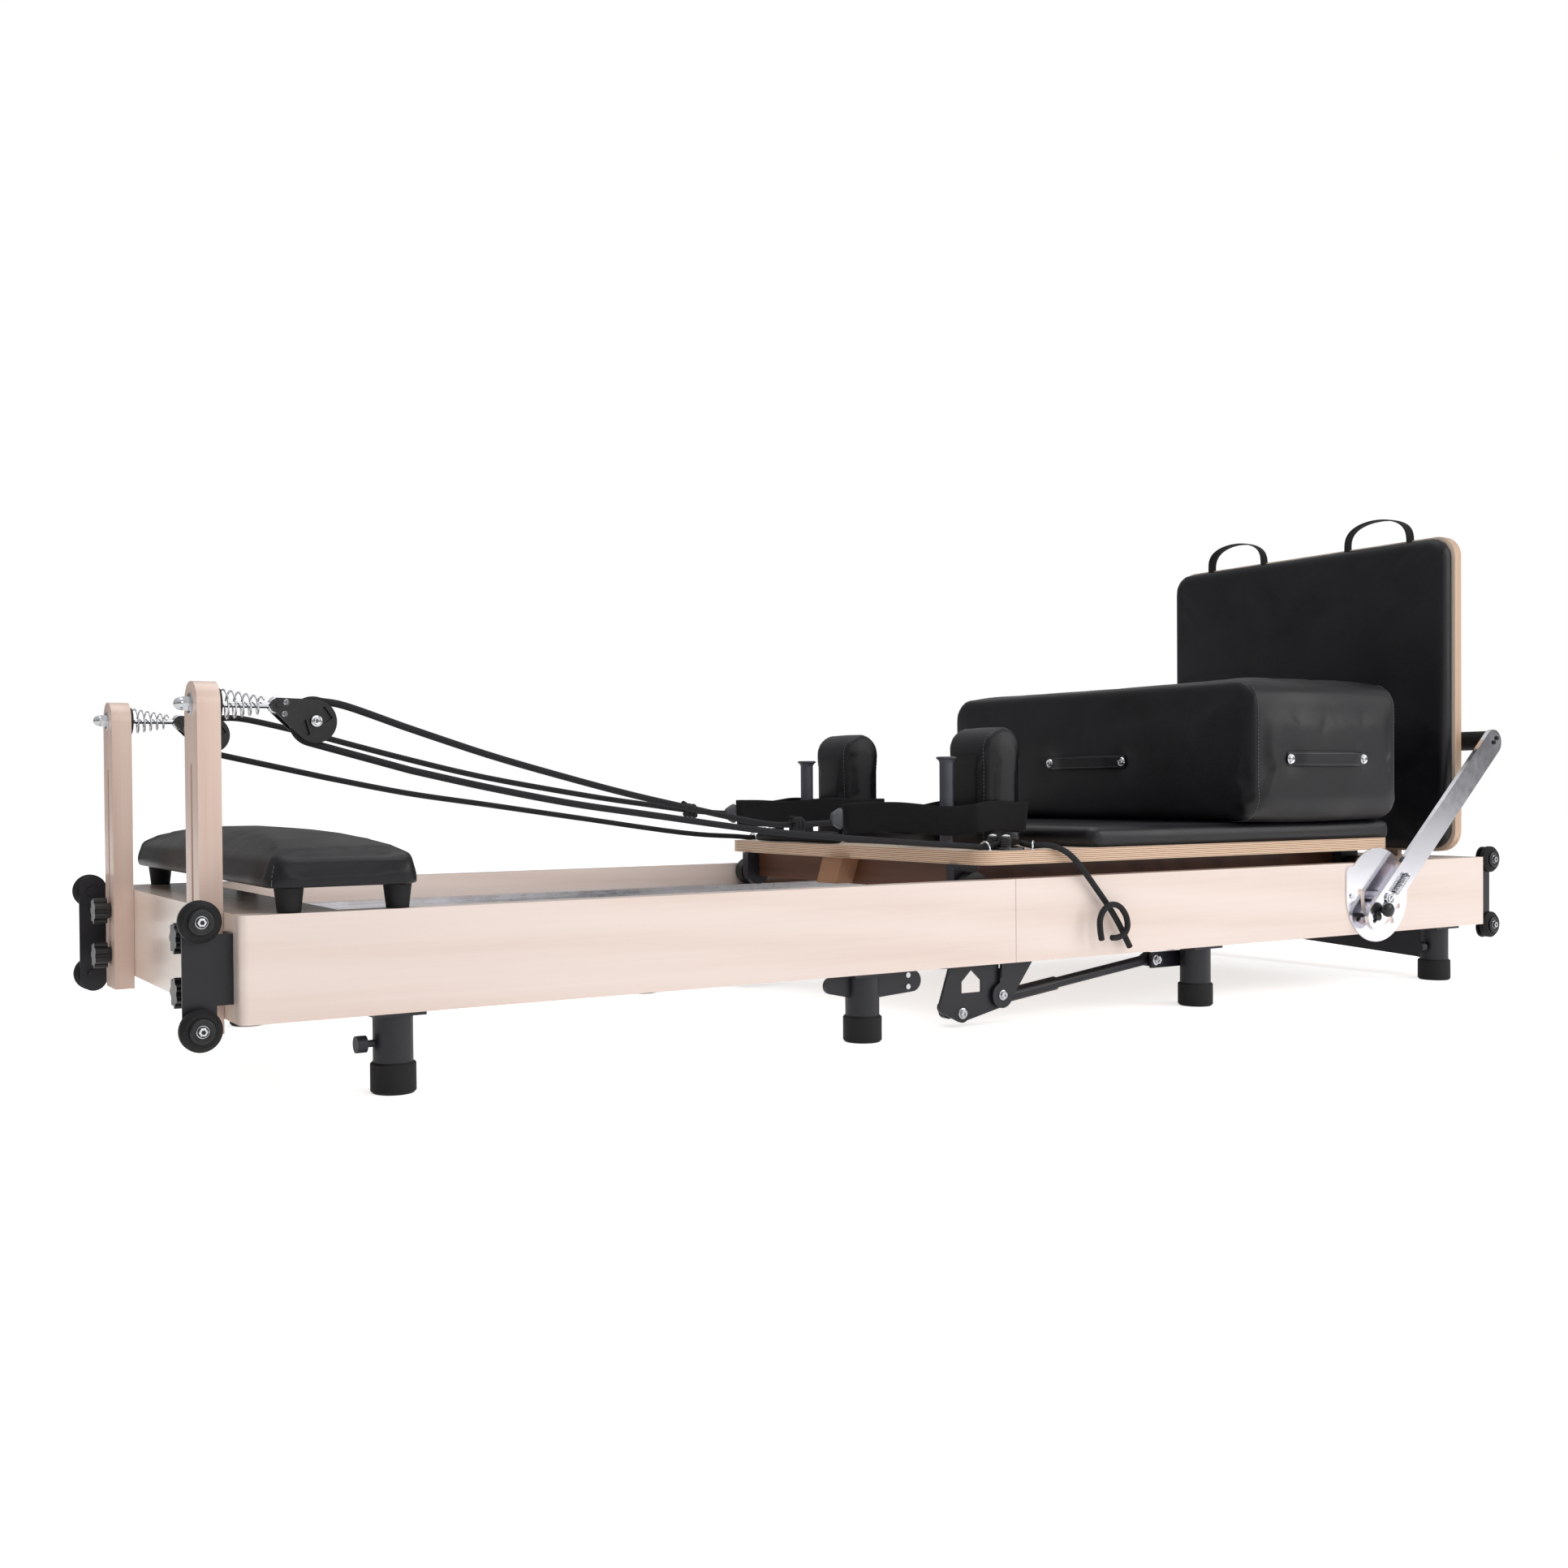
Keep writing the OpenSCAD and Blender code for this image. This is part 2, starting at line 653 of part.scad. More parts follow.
// ---- springs ----

spring_y = [-160, -80, 0, 80, 160];
spring_z = 192;
spring_x = [441, 1047];

module spring_bar() color(bright) {
  x0 = spring_x[1] + 1;
  box(x0, x0 + 6, -300, 300, 172, 204);
  for (y = spring_y) rod_x(y, spring_z, x0 + 5, x0 + 12, 4);
  both_sides() {
    box(x0, x0 + 6, 292, rail_in, 150, track_top - track_t - 14);
    box(x0 - 14, x0 + 20, rail_in - 4, rail_in, 150, track_top - track_t - 14);
  }
}

module springs() color(bright) for (y = spring_y) rod_x(y, spring_z, spring_x[0], spring_x[1], 11);

// ---- sitting box ----

module sitting_box() {
  color(leather) along_x(box_x, box_x + box_l) round_rect(-box_w / 2, box_w / 2, pad_top, pad_top + box_h, 40);
  // strap handles on one face and on both ends
  color(webbing) {
    along_x(box_x - 7, box_x - 3) round_rect(-105, 105, pad_top + 94, pad_top + 120, 6);
    for (y = [-95, 95]) rod_x(y, pad_top + 107, box_x - 4, box_x, 8);
    both_sides() {
      along_y(box_w / 2 + 3, box_w / 2 + 7) round_rect(577, 789, pad_top + 94, pad_top + 120, 6);
      for (x = [590, 776]) rod_y(x, pad_top + 107, box_w / 2, box_w / 2 + 4, 8);
    }
  }
}

// ---- jump board ----

module jump_board() color(ply) {
  along_x(jump_x, jump_x + ply_t) round_rect(-jump_w / 2, jump_w / 2, jump_z, jump_z + jump_h, 40);
  both_sides() box(jump_x + 3, jump_x + 15, tongue_y - 30, tongue_y + 30, deck_z - 18, jump_z + 10);
}

module jump_pad() color(leather)
  along_x(jump_x - 30, jump_x) round_rect(2 - jump_w / 2, jump_w / 2 - 2, jump_z + 2, jump_z + jump_h - 2, 38);

module pull_loops() color(webbing) both_sides() {
  top = jump_z + jump_h;
  translate([jump_x - 3, 173, top - 30]) rotate([0, -90, 180]) difference() {
    translate([0, 0, -1.5]) linear_extrude(27) intersection() {
      translate([30, -80]) square([60, 160]);
      union() {
        translate([30, -73]) square([10, 146]);
        translate([40, -33]) square([40, 66]);
        for (s = [-1, 1]) translate([40, s * 33]) circle(r = 40);
      }
    }
    translate([-1, 0, -2]) linear_extrude(28) union() {
      translate([30, -70]) square([11, 140]);
      translate([40, -33]) square([37, 66]);
      for (s = [-1, 1]) translate([40, s * 33]) circle(r = 37);
    }
  }
}

// ---- foot bar ----

// places its children with +X running from the pivot to the roller
module on_arm(angle = bar_angle) {
  translate([bar_pivot[0], 0, bar_pivot[1]]) rotate([0, -angle, 0]) children();
}

module lock_plates() color(bright) both_sides() {
  difference() {
    along_y(rail_out, rail_out + 2.3) {
      x0 = 769;
      x1 = 937;
      r = (x1 - x0) / 2;
      translate([x0 + r, 84.5 + r]) circle(r = r);
      translate([x0 + 12, 84.5 + r]) square([x1 - x0 - 24, 221.5 - 84.5 - r]);
      translate([x0, 84.5 + r]) square([x1 - x0, 221.5 - 84.5 - r - 12]);
      for (x = [x0 + 12, x1 - 12]) translate([x, 209.5]) circle(r = 12);
    }
    // arc slot with its notches
    translate([bar_pivot[0], rail_out - 1, bar_pivot[1]]) rotate([90, 0, 180]) mirror([1, 0, 0])
      linear_extrude(5) {
        w = latch_r + 1;
        rotate(notch_angles[0]) arc_slot(notch_angles[3] - notch_angles[0], tail_r, w);
        for (a = notch_angles) rotate(a) {
          translate([tail_r, -w]) square([latch_throw, 2 * w]);
          translate([tail_r + latch_throw, 0]) circle(r = w);
        }
      }
  }
  rod_y(bar_pivot[0], bar_pivot[1], rail_out, arm_y + arm_t / 2 + 1, 8);
  rod_y(bar_pivot[0], bar_pivot[1], rail_out + 2, arm_y - arm_t / 2 - 0.4, 13);
  rod_y(bar_pivot[0], bar_pivot[1], arm_y + arm_t / 2 + 0.4, arm_y + arm_t / 2 + 3, 12);
}

// arc of the given angle and half width, starting on +X
module arc_slot(angle, r, w) {
  difference() {
    sector(angle, r + w);
    circle(r = r - w);
  }
  translate([r, 0]) circle(r = w);
  rotate(angle) translate([r, 0]) circle(r = w);
}

module sector(angle, r) intersection() {
  circle(r = r);
  polygon([[0, 0], for (k = [0 : 4]) 3 * r * [cos(angle * k / 4), sin(angle * k / 4)]]);
}

module footbar_arms() color(bright) both_sides() difference() {
  on_arm() along_y(arm_y - arm_t / 2, arm_y + arm_t / 2) {
    r = arm_w / 2;
    translate([-tail_r, -r]) square([tail_r + bar_reach - 5, arm_w]);
    for (x = [-tail_r, bar_reach - 5]) translate([x, 0]) circle(r = r);
  }
  on_arm() rod_y(0, 0, arm_y - 10, arm_y + 10, 8 + fit);
  on_arm() along_y(arm_y - 10, arm_y + 10) {
    w = latch_r + 0.6;
    translate([-tail_r - latch_throw, -w]) square([latch_throw, 2 * w]);
    for (x = [-tail_r - latch_throw, -tail_r]) translate([x, 0]) circle(r = w);
  }
}

module footbar_roller() color(leather) {
  on_arm() rod_y(bar_reach, 0, -(arm_y - arm_t / 2), arm_y - arm_t / 2, bar_d / 2);
  both_sides() on_arm() for (x = [-6, 6]) rod_y(bar_reach + x, 0, arm_y + arm_t / 2, arm_y + arm_t / 2 + 2, 4);
}

module footbar_latches() color(powder) both_sides() on_arm() {
  y = arm_y + arm_t / 2;
  rod_y(-tail_r, 0, rail_out + 0.6, y + 4, latch_r);
  rod_y(-tail_r, 0, y + 0.6, y + 4, 7);
}

// ---- step ----

module stool_pad() color(leather)
  translate([0, 0, 256]) linear_extrude(58) round_rect(stool_x - 95, stool_x + 95, -375, 375, 22);

module stool_legs() color(black_rubber) both_sides() for (x = stool_feet)
  translate([x, 343, rail_top + 0.2]) rotate_extrude() polygon([[0, 0], [14, 0], [17.5, 28.8], [0, 28.8]]);

// ---- ropes ----

function near_path() = concat(smooth(near_upper, 3),
  [[-1010, -253, 476]], arc_xz(sheave_c, near_y, rope_wrap_r, 70, 255, 12), smooth(near_lower, 3));
function far_path() = concat(smooth(far_upper, 3),
  [[-1000, 254, 480]], arc_xz(sheave_c, far_y, rope_wrap_r, 70, 255, 12), smooth(far_lower, 3));

module rope_near() color(black_rubber) sweep(near_path(), rope_d / 2);
module rope_far() color(black_rubber) sweep(far_path(), rope_d / 2);
module rope_tail() color(black_rubber) {
  sweep(smooth(tail_route, 2), rope_d / 2);
  sweep(smooth(knot_route, 3), rope_d / 2);
}

// ---- screws ----

module screws_right() color(bright) both_sides() {
  for (x = [783, 910.5]) rod_y(x, 169, rail_out + 2.3, rail_out + 4.5, 5);
  for (x = [20, 72], z = [leg_h + 20, leg_h + 60]) rod_y(x, z, rail_in - 8, rail_in - 5.5, 5);
  for (z = [135, 163, 192]) rod_x(312, z, half_len + 3, half_len + 5, 5);
}

module screws_left() color(bright) both_sides() {
  // studs that the star knobs turn on
  for (z = knob_z) rod_x(post_y, z, -half_len - post_t - 12, panel_t - half_len - 4, stud_r);
  for (x = [-28, -80], z = [leg_h + 16, leg_h + 52]) rod_y(x, z, rail_in - 14, rail_in - 11.5, 5);
  for (z = [135, 163, 192]) rod_x(312, z, -half_len - 5, -half_len - 3, 5);
  for (z = [74, 91]) rod_y(-188, z, leg_y + 3, leg_y + 5, 4);
}

rails_right();
end_boards_right();
tracks_right();
legs_right();
feet_right();
hinge_plates_right();
wheel_brackets_right();
lock_plates();
spring_bar();
screws_right();
rails_left();
end_boards_left();
tracks_left();
legs_left();
feet_left();
hinge_plates_left();
wheel_brackets_left();
screws_left();
wheels_left_upper();
wheels_left_lower();
wheels_right_upper();
wheels_right_lower();
post_near();
post_far();
post_fittings_near();
post_fittings_far();
pulley_block_near();
pulley_block_far();
sheave_near();
sheave_far();
knob_near_upper();
knob_near_lower();
knob_far_upper();
knob_far_lower();
carriage_board();
carriage_pad();
carriage_subframe();
wheel_carriers();
carriage_wheels_front();
carriage_wheels_rear();
shoulder_rests();
peg_handles();
cleats();
foot_loops();
hand_grip();
sitting_box();
jump_board();
jump_pad();
pull_loops();
footbar_arms();
footbar_roller();
footbar_latches();
strut_cylinders();
strut_rods();
stool_pad();
stool_legs();
springs();
rope_near();
rope_far();
rope_tail();
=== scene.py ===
"""Looks of a folding pilates reformer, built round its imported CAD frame. All lengths are metres.

Order: camera, light and floor; mesh helpers; materials; ropes; padded pieces; straps; metal fittings; CAD nodes.
"""

import math

import bmesh
import bpy
import numpy as np
from mathutils import Matrix, Vector
from mathutils.bvhtree import BVHTree
from mathutils.kdtree import KDTree


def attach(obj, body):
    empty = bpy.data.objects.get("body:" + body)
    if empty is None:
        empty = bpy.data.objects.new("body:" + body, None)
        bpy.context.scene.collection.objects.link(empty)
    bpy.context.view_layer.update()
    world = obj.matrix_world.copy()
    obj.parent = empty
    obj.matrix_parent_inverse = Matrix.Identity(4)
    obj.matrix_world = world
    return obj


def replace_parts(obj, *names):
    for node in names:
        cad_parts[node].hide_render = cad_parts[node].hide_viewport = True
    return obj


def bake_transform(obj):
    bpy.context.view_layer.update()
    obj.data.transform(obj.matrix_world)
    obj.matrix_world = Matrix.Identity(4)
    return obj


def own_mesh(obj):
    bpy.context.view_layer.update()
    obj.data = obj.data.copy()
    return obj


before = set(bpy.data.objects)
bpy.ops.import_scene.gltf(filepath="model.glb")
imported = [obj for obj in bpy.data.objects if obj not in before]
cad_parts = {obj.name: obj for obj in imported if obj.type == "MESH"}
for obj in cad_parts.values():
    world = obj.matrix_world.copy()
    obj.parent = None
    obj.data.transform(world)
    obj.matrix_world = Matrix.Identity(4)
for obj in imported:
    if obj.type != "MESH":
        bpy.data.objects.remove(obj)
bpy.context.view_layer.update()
NEAR, FAR = -1, 1  # signs of Y for the two sides of the machine
SIDE_NAME = {NEAR: "near", FAR: "far"}
TAU = 2 * math.pi


# ---- camera, light and floor ----


def make_camera():
    """A camera low at the left front corner of the machine, as far off as its lens needs."""
    place, yaw, pitch, roll = (-1.6533, -2.1955, 0.3703), 0.532, -0.0141, -0.0079
    level = math.cos(pitch)
    forward = Vector((math.sin(yaw) * level, math.cos(yaw) * level, math.sin(pitch)))
    right = Vector((math.cos(yaw), -math.sin(yaw), 0))
    up = right.cross(forward)
    c, s = math.cos(roll), math.sin(roll)
    data = bpy.data.cameras.new("camera")
    data.sensor_width, data.lens = 36, 36.51
    data.shift_x, data.shift_y = 0.060, 0.0166
    camera = bpy.data.objects.new("camera", data)
    bpy.context.scene.collection.objects.link(camera)
    turn = Matrix((right * c + up * s, up * c - right * s, -forward)).transposed().to_4x4()
    camera.matrix_world = Matrix.Translation(place) @ turn
    bpy.context.scene.camera = camera


def area_light(name, at, towards, size, power, colour=(1, 1, 1)):
    """A large soft square light."""
    data = bpy.data.lights.new(name, "AREA")
    data.shape, data.size, data.energy, data.color = "SQUARE", size, power, colour
    lamp = bpy.data.objects.new(name, data)
    bpy.context.scene.collection.objects.link(lamp)
    aim = (Vector(towards) - Vector(at)).to_track_quat("-Z", "Y")
    lamp.matrix_world = Matrix.Translation(at) @ aim.to_matrix().to_4x4()


def grey(level):
    return (level, level, level)


def make_studio():
    """White to the camera, a grey room to everything else, and four broad lights."""
    world = bpy.data.worlds.new("studio")
    bpy.context.scene.world = world
    world.use_nodes = True
    tree = world.node_tree
    tree.nodes.clear()
    height = span(tree, split_axes(tree, coords(tree, source="Generated"))[2], 0, 1, -1, 1)
    levels = ((0.0, 0.45), (0.47, 0.30), (0.53, 0.16), (0.66, 0.42), (1.0, 0.8))
    room = add(tree, "Background", {"Color": ramp(tree, height, [(at, grey(level)) for at, level in levels])})
    white = add(tree, "Background", {"Color": (1, 1, 1, 1)})
    both = add(tree, "MixShader", {0: camera_ray(tree), 1: room.outputs[0], 2: white.outputs[0]})
    add(tree, "OutputWorld", {"Surface": both.outputs[0]})
    warm = (1.0, 0.985, 0.97)
    area_light("key", (3.0, -3.2, 1.9), (0.3, 0, 0.35), 2.4, 56, warm)
    area_light("front", (-0.3, -4.2, 2.0), (-0.5, 0, 0.3), 2.4, 30, warm)
    area_light("top", (0.0, 0.2, 3.4), (0, 0, 0.3), 2.6, 32)
    area_light("left", (-3.8, 0.4, 1.4), (-0.8, 0, 0.3), 1.4, 2)
    bpy.context.scene.view_settings.view_transform = "Standard"


def make_floor():
    """A plain pale floor, far wider than the machine, that glows a little so it looks white."""
    half = 14
    mesh = bpy.data.meshes.new("floor")
    corners = [(-half, -half, 0), (half, -half, 0), (half, half, 0), (-half, half, 0)]
    mesh.from_pydata(corners, [], [(0, 1, 2, 3)])
    floor = bpy.data.objects.new("floor", mesh)
    bpy.context.scene.collection.objects.link(floor)
    material, tree = new_material("floor_paint")
    spread = noise(tree, coords(tree), 3, 4)
    mesh.materials.append(finished(material, {
        "Base Color": ramp(tree, spread, [(0.3, grey(0.93)), (0.7, grey(0.95))]), "Roughness": 0.8,
        "Emission Color": (1, 1, 1, 1), "Emission Strength": span(tree, camera_ray(tree), 0.24, 0.62),
    }))


# ---- mesh helpers ----


def axes(direction):
    """Two unit vectors square to a direction and to each other."""
    d = Vector(direction).normalized()
    a = d.cross(Vector((0, 0, 1)) if abs(d.z) < 0.9 else Vector((1, 0, 0))).normalized()
    return a, d.cross(a)


def spline(points, steps):
    """A smooth line through the points, as the CAD source draws its ropes."""
    p, last = [Vector(q) for q in points], len(points) - 1
    line = []
    for i in range(last):
        a, b, c, d = p[max(i - 1, 0)], p[i], p[i + 1], p[min(i + 2, last)]
        for k in range(steps):
            t = k / steps
            line.append(
                0.5 * (2 * b + (c - a) * t + (2 * a - 5 * b + 4 * c - d) * t * t
                       + (3 * b - 3 * c + d - a) * t**3)
            )
    return line + [p[last]]


def even(path, step, closed=False):
    """The path again, with its points the same distance apart."""
    p = [Vector(q) for q in path] + ([Vector(path[0])] if closed else [])
    along = [0.0]
    for a, b in zip(p, p[1:]):
        along.append(along[-1] + (b - a).length)
    n = max(2, round(along[-1] / step))
    out, i = [], 0
    for k in range(n if closed else n + 1):
        want = along[-1] * k / n
        while i < len(p) - 2 and along[i + 1] < want:
            i += 1
        out.append(p[i].lerp(p[i + 1], min(1, (want - along[i]) / max(1e-9, along[i + 1] - along[i]))))
    return out


def travelled(path):
    """Distance from the start at each point of a path."""
    d = [0.0]
    for a, b in zip(path, path[1:]):
        d.append(d[-1] + (b - a).length)
    return d


def carried_frames(path):
    """Direction and two side vectors at each point, turning as little as they can."""
    last = len(path) - 1
    tangents = [(path[min(i + 1, last)] - path[max(i - 1, 0)]).normalized() for i in range(last + 1)]
    side = axes(tangents[0])[0]
    out = []
    for t in tangents:
        side = (side - t * side.dot(t)).normalized()
        out.append((t, side, t.cross(side)))
    return out


def circle(sides):
    """Points of a unit circle."""
    return [(math.cos(TAU * k / sides), math.sin(TAU * k / sides)) for k in range(sides)]


def arc_of(x, y, r, start, end, steps):
    """Points of an arc, from one angle in degrees to another."""
    turns = [math.radians(start + (end - start) * k / steps) for k in range(steps + 1)]
    return [Vector((x + r * math.cos(a), y + r * math.sin(a))) for a in turns]


class Shape:
    """Collects grids of points, and makes them one mesh piece with UVs."""

    def __init__(self):
        self.verts, self.faces, self.uvs = [], [], []

    def grid(self, rows, wrap=False, caps=False, us=None, vs=None):
        base, m = len(self.verts), len(rows[0])
        self.verts += [tuple(p) for row in rows for p in row]
        us = us or [j / m for j in range(m + 1)]
        vs = vs or [i / len(rows) for i in range(len(rows))]
        for i in range(len(rows) - 1):
            for j in range(m if wrap else m - 1):
                k, a, b = (j + 1) % m, base + i * m, base + (i + 1) * m
                self.faces.append((a + j, a + k, b + k, b + j))
                self.uvs += [(us[j], vs[i]), (us[j + 1], vs[i]), (us[j + 1], vs[i + 1]), (us[j], vs[i + 1])]
        if caps:
            for i in (0, len(rows) - 1):
                ring = [base + i * m + j for j in range(m)]
                self.faces.append(tuple(ring if i else ring[::-1]))
                self.uvs += [(0.5, vs[i])] * m
        return self

    def lathe(self, centre, direction, profile, sides=32):
        """Turns (radius, height) points round an axis."""
        c, d = Vector(centre), Vector(direction).normalized()
        a, b = axes(d)
        rows = [[c + d * h + (a * x + b * y) * max(r, 1e-4) for x, y in circle(sides)] for r, h in profile]
        return self.grid(rows, wrap=True, caps=True)

    def tube(self, path, radius, sides=12, closed=False):
        """A round tube along a path. Its V is metres along it, and its U one turn round it."""
        path = [Vector(p) for p in path]
        rings = [(p, f, radius, v) for p, f, v in zip(path, carried_frames(path), travelled(path))]
        if not closed:
            (p0, f0, _, v0), (p1, f1, _, v1) = rings[0], rings[-1]
            tip, narrow = radius * 0.25, radius * 0.7
            rings = [(p0 - f0[0] * tip, f0, narrow, v0)] + rings + [(p1 + f1[0] * tip, f1, narrow, v1)]
        rows = [[p + (s * x + o * y) * r for x, y in circle(sides)] for p, (_, s, o), r, _ in rings]
        return self.grid(rows, wrap=True, caps=not closed, vs=[v for *_, v in rings])

    def band(self, path, across, width, thick, closed=False):
        """A flat strap: across is its width's direction. U and V are metres across and along it."""
        path = [Vector(p) for p in path]
        if closed:
            path = path + [path[0]]
        w, h = width / 2, thick / 2
        section = [(-w, 0), (-w + h, h), (0, h), (w - h, h), (w, 0), (w - h, -h), (0, -h), (-w + h, -h)]
        rows, last = [], len(path) - 1
        for i, p in enumerate(path):
            before = path[i - 1] if i else (path[-2] if closed else path[0])
            after = path[i + 1] if i < last else (path[1] if closed else path[-1])
            t = (after - before).normalized()
            wide = Vector(across(i / last) if callable(across) else across)
            wide = (wide - t * wide.dot(t)).normalized()
            out = t.cross(wide)
            rows.append([p + wide * s + out * n for s, n in section])
        us = [s for s, _ in section] + [-w]
        return self.grid(rows, wrap=True, caps=not closed, us=us, vs=travelled(path))

    def make(self, name, material, body=None, smooth=True, slot=None):
        mesh = bpy.data.meshes.new(name)
        mesh.from_pydata(self.verts, [], self.faces)
        layer = mesh.uv_layers.new(name="UVMap")
        layer.data.foreach_set("uv", [x for uv in self.uvs for x in uv])
        work = bmesh.new()
        work.from_mesh(mesh)
        bmesh.ops.remove_doubles(work, verts=work.verts, dist=1e-6)
        bmesh.ops.recalc_face_normals(work, faces=work.faces)
        for face in work.faces:
            face.smooth = smooth
        work.to_mesh(mesh)
        work.free()
        mesh.materials.append(material)
        piece = bpy.data.objects.new(name, mesh)
        bpy.context.scene.collection.objects.link(piece)
        if body:
            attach(piece, body)
        return piece


def sharpen(piece, angle=35):
    """Keeps edges steeper than the angle crisp on a piece that is smooth elsewhere."""
    work = bmesh.new()
    work.from_mesh(piece.data)
    for edge in work.edges:
        if len(edge.link_faces) == 2 and edge.calc_face_angle(0) > math.radians(angle):
            edge.smooth = False
    work.to_mesh(piece.data)
    work.free()
    return piece


def rounded(x0, x1, y0, y1, r, arc=6):
    """A rectangle with round corners, counter-clockwise."""
    corners = ((x1 - r, y0 + r, -90), (x1 - r, y1 - r, 0), (x0 + r, y1 - r, 90), (x0 + r, y0 + r, 180))
    return [p for x, y, start in corners for p in arc_of(x, y, r, start, start + 90, arc)]


def inset(outline, d):
    """A closed outline moved inwards by d."""
    out, n = [], len(outline)
    for i, q in enumerate(outline):
        e1, e2 = (q - outline[i - 1]).normalized(), (outline[(i + 1) % n] - q).normalized()
        n1, n2 = Vector((-e1.y, e1.x)), Vector((-e2.y, e2.x))
        out.append(q + (n1 + n2) / max(0.3, 1 + n1.dot(n2)) * d)
    return out


def cushion(name, outline, centre, place, depth, low, high, material, bulge=0.002, step=0.012):
    """A closed padded form on an outline. low and high are the (fillet, crown) of its two ends."""
    line = even([Vector((p.x, p.y, 0)) for p in outline], step, closed=True)
    line = [Vector((p.x, p.y)) for p in line]
    centre = Vector(centre)
    (f0, c0), (f1, c1) = low, high
    shares, angles = [0.02, 0.2, 0.4, 0.6, 0.75, 0.88, 1], [22, 45, 67, 90]
    rows = []

    def cap(fillet, crown, base, sign, order):
        edge = inset(line, fillet)
        for s in order:
            h = base + sign * crown * (1 - s**2.6)
            rows.append([place(centre + (q - centre) * s, h) for q in edge])

    def shoulder(fillet, base, sign, order):
        for a in map(math.radians, order):
            h = base + sign * fillet * (1 - math.cos(a))
            rows.append([place(q, h) for q in inset(line, fillet * (1 - math.sin(a)))])

    cap(f0, c0, c0, -1, shares)
    shoulder(f0, c0, 1, angles)
    bottom, top = c0 + f0, depth - c1 - f1
    for t in (k / 8 for k in range(1, 8)):
        swollen = inset(line, -bulge * math.sin(math.pi * t))
        rows.append([place(q, bottom + (top - bottom) * t) for q in swollen])
    shoulder(f1, depth - c1, -1, angles[::-1])
    cap(f1, c1, depth - c1, 1, shares[::-1])
    return Shape().grid(rows, wrap=True, caps=True).make(name, material)


def bake(piece):
    """Makes the piece's modifiers part of its mesh."""
    graph = bpy.context.evaluated_depsgraph_get()
    old = piece.data
    piece.data = bpy.data.meshes.new_from_object(piece.evaluated_get(graph), depsgraph=graph)
    piece.modifiers.clear()
    piece.data.name = piece.name
    if old.users == 0:
        bpy.data.meshes.remove(old)


def finer(piece, levels=1):
    """Subdivides, so that edges are round."""
    piece.modifiers.new("finer", "SUBSURF").levels = levels


def points_of(mesh):
    flat = np.empty(len(mesh.vertices) * 3)
    mesh.vertices.foreach_get("co", flat)
    return flat.reshape(-1, 3)


def swell(piece, voxel, cap, held, pressure=4.0, frames=20):
    """Cloth blows the form up as its stuffing does. held says which points stay where they rest."""
    scene = bpy.context.scene
    remesh = piece.modifiers.new("remesh", "REMESH")
    remesh.mode, remesh.voxel_size = "VOXEL", voxel
    bake(piece)
    start = points_of(piece.data)
    group = piece.vertex_groups.new(name="held")
    group.add([i for i, p in enumerate(start) if held(p)], 1.0, "REPLACE")
    cloth = piece.modifiers.new("cloth", "CLOTH")
    cloth.settings.quality = 4
    cloth.settings.vertex_group_mass = "held"
    cloth.settings.use_pressure = True
    cloth.settings.uniform_pressure_force = pressure
    cloth.settings.effector_weights.gravity = 0
    cloth.point_cache.frame_start, cloth.point_cache.frame_end = 1, frames
    for f in range(1, frames + 1):
        scene.frame_set(f)
    graph = bpy.context.evaluated_depsgraph_get()
    moved = points_of(piece.evaluated_get(graph).data)
    piece.modifiers.clear()
    step = moved - start
    far = np.linalg.norm(step, axis=1)
    step *= np.minimum(1, cap / np.maximum(far, 1e-9))[:, None]
    piece.data.vertices.foreach_set("co", (start + step).ravel())
    piece.data.update()
    scene.frame_set(1)
    piece.vertex_groups.clear()
    finer(piece)
    bake(piece)
    piece.data.polygons.foreach_set("use_smooth", [True] * len(piece.data.polygons))
    return piece


def dent(piece, line, depth, width):
    """Draws the surface in along a line of points, as a seam or a pulled button does."""
    tree = KDTree(len(line))
    for i, p in enumerate(line):
        tree.insert(p, i)
    tree.balance()
    for v in piece.data.vertices:
        gap = tree.find(v.co)[2]
        if gap < 3 * width:
            v.co -= v.normal * depth * math.exp(-((gap / width) ** 2))
    piece.data.update()


def sewn(name, piece, lines, body, pitch=0.0062, size=0.0042, radius=0.00045):
    """Rows of thread stitches lying on the surface of a piece."""
    work = bmesh.new()
    work.from_mesh(piece.data)
    surface = BVHTree.FromBMesh(work)
    work.free()
    rows = Shape()
    for line in lines:
        spots = even(line, pitch)
        for a, b in zip(spots, spots[1:]):
            middle, way = (a + b) / 2, (b - a).normalized()
            at, normal, _, gap = surface.find_nearest(middle)
            if at is None or gap > 0.02:
                continue
            way = (way - normal * way.dot(normal)).normalized()
            side = normal.cross(way)
            rings = []
            for t, r in ((-0.5, 0.3), (-0.36, 0.9), (0, 1.1), (0.36, 0.9), (0.5, 0.3)):
                c = at + way * size * t + normal * radius * (0.55 - 1.6 * t * t)
                rings.append([c + (side * x + normal * y) * radius * r for x, y in circle(5)])
            rows.grid(rings, wrap=True, caps=True)
    return rows.make(name, MAT["thread"], body)


# ---- material helpers ----


def rgb(r, g, b):
    """Display colour, 0 to 255, as the linear colour that a shader takes."""
    return tuple((c / 255 / 12.92) if c < 10.3 else ((c / 255 + 0.055) / 1.055) ** 2.4 for c in (r, g, b))


def new_material(name):
    material = bpy.data.materials.new(name)
    material.use_nodes = True
    return material, material.node_tree


def feed(tree, node, values):
    """Sets a node's sockets. A value is a constant, or the output that feeds the socket."""
    for key, value in values.items():
        if isinstance(value, bpy.types.NodeSocket):
            tree.links.new(value, node.inputs[key])
        else:
            node.inputs[key].default_value = value


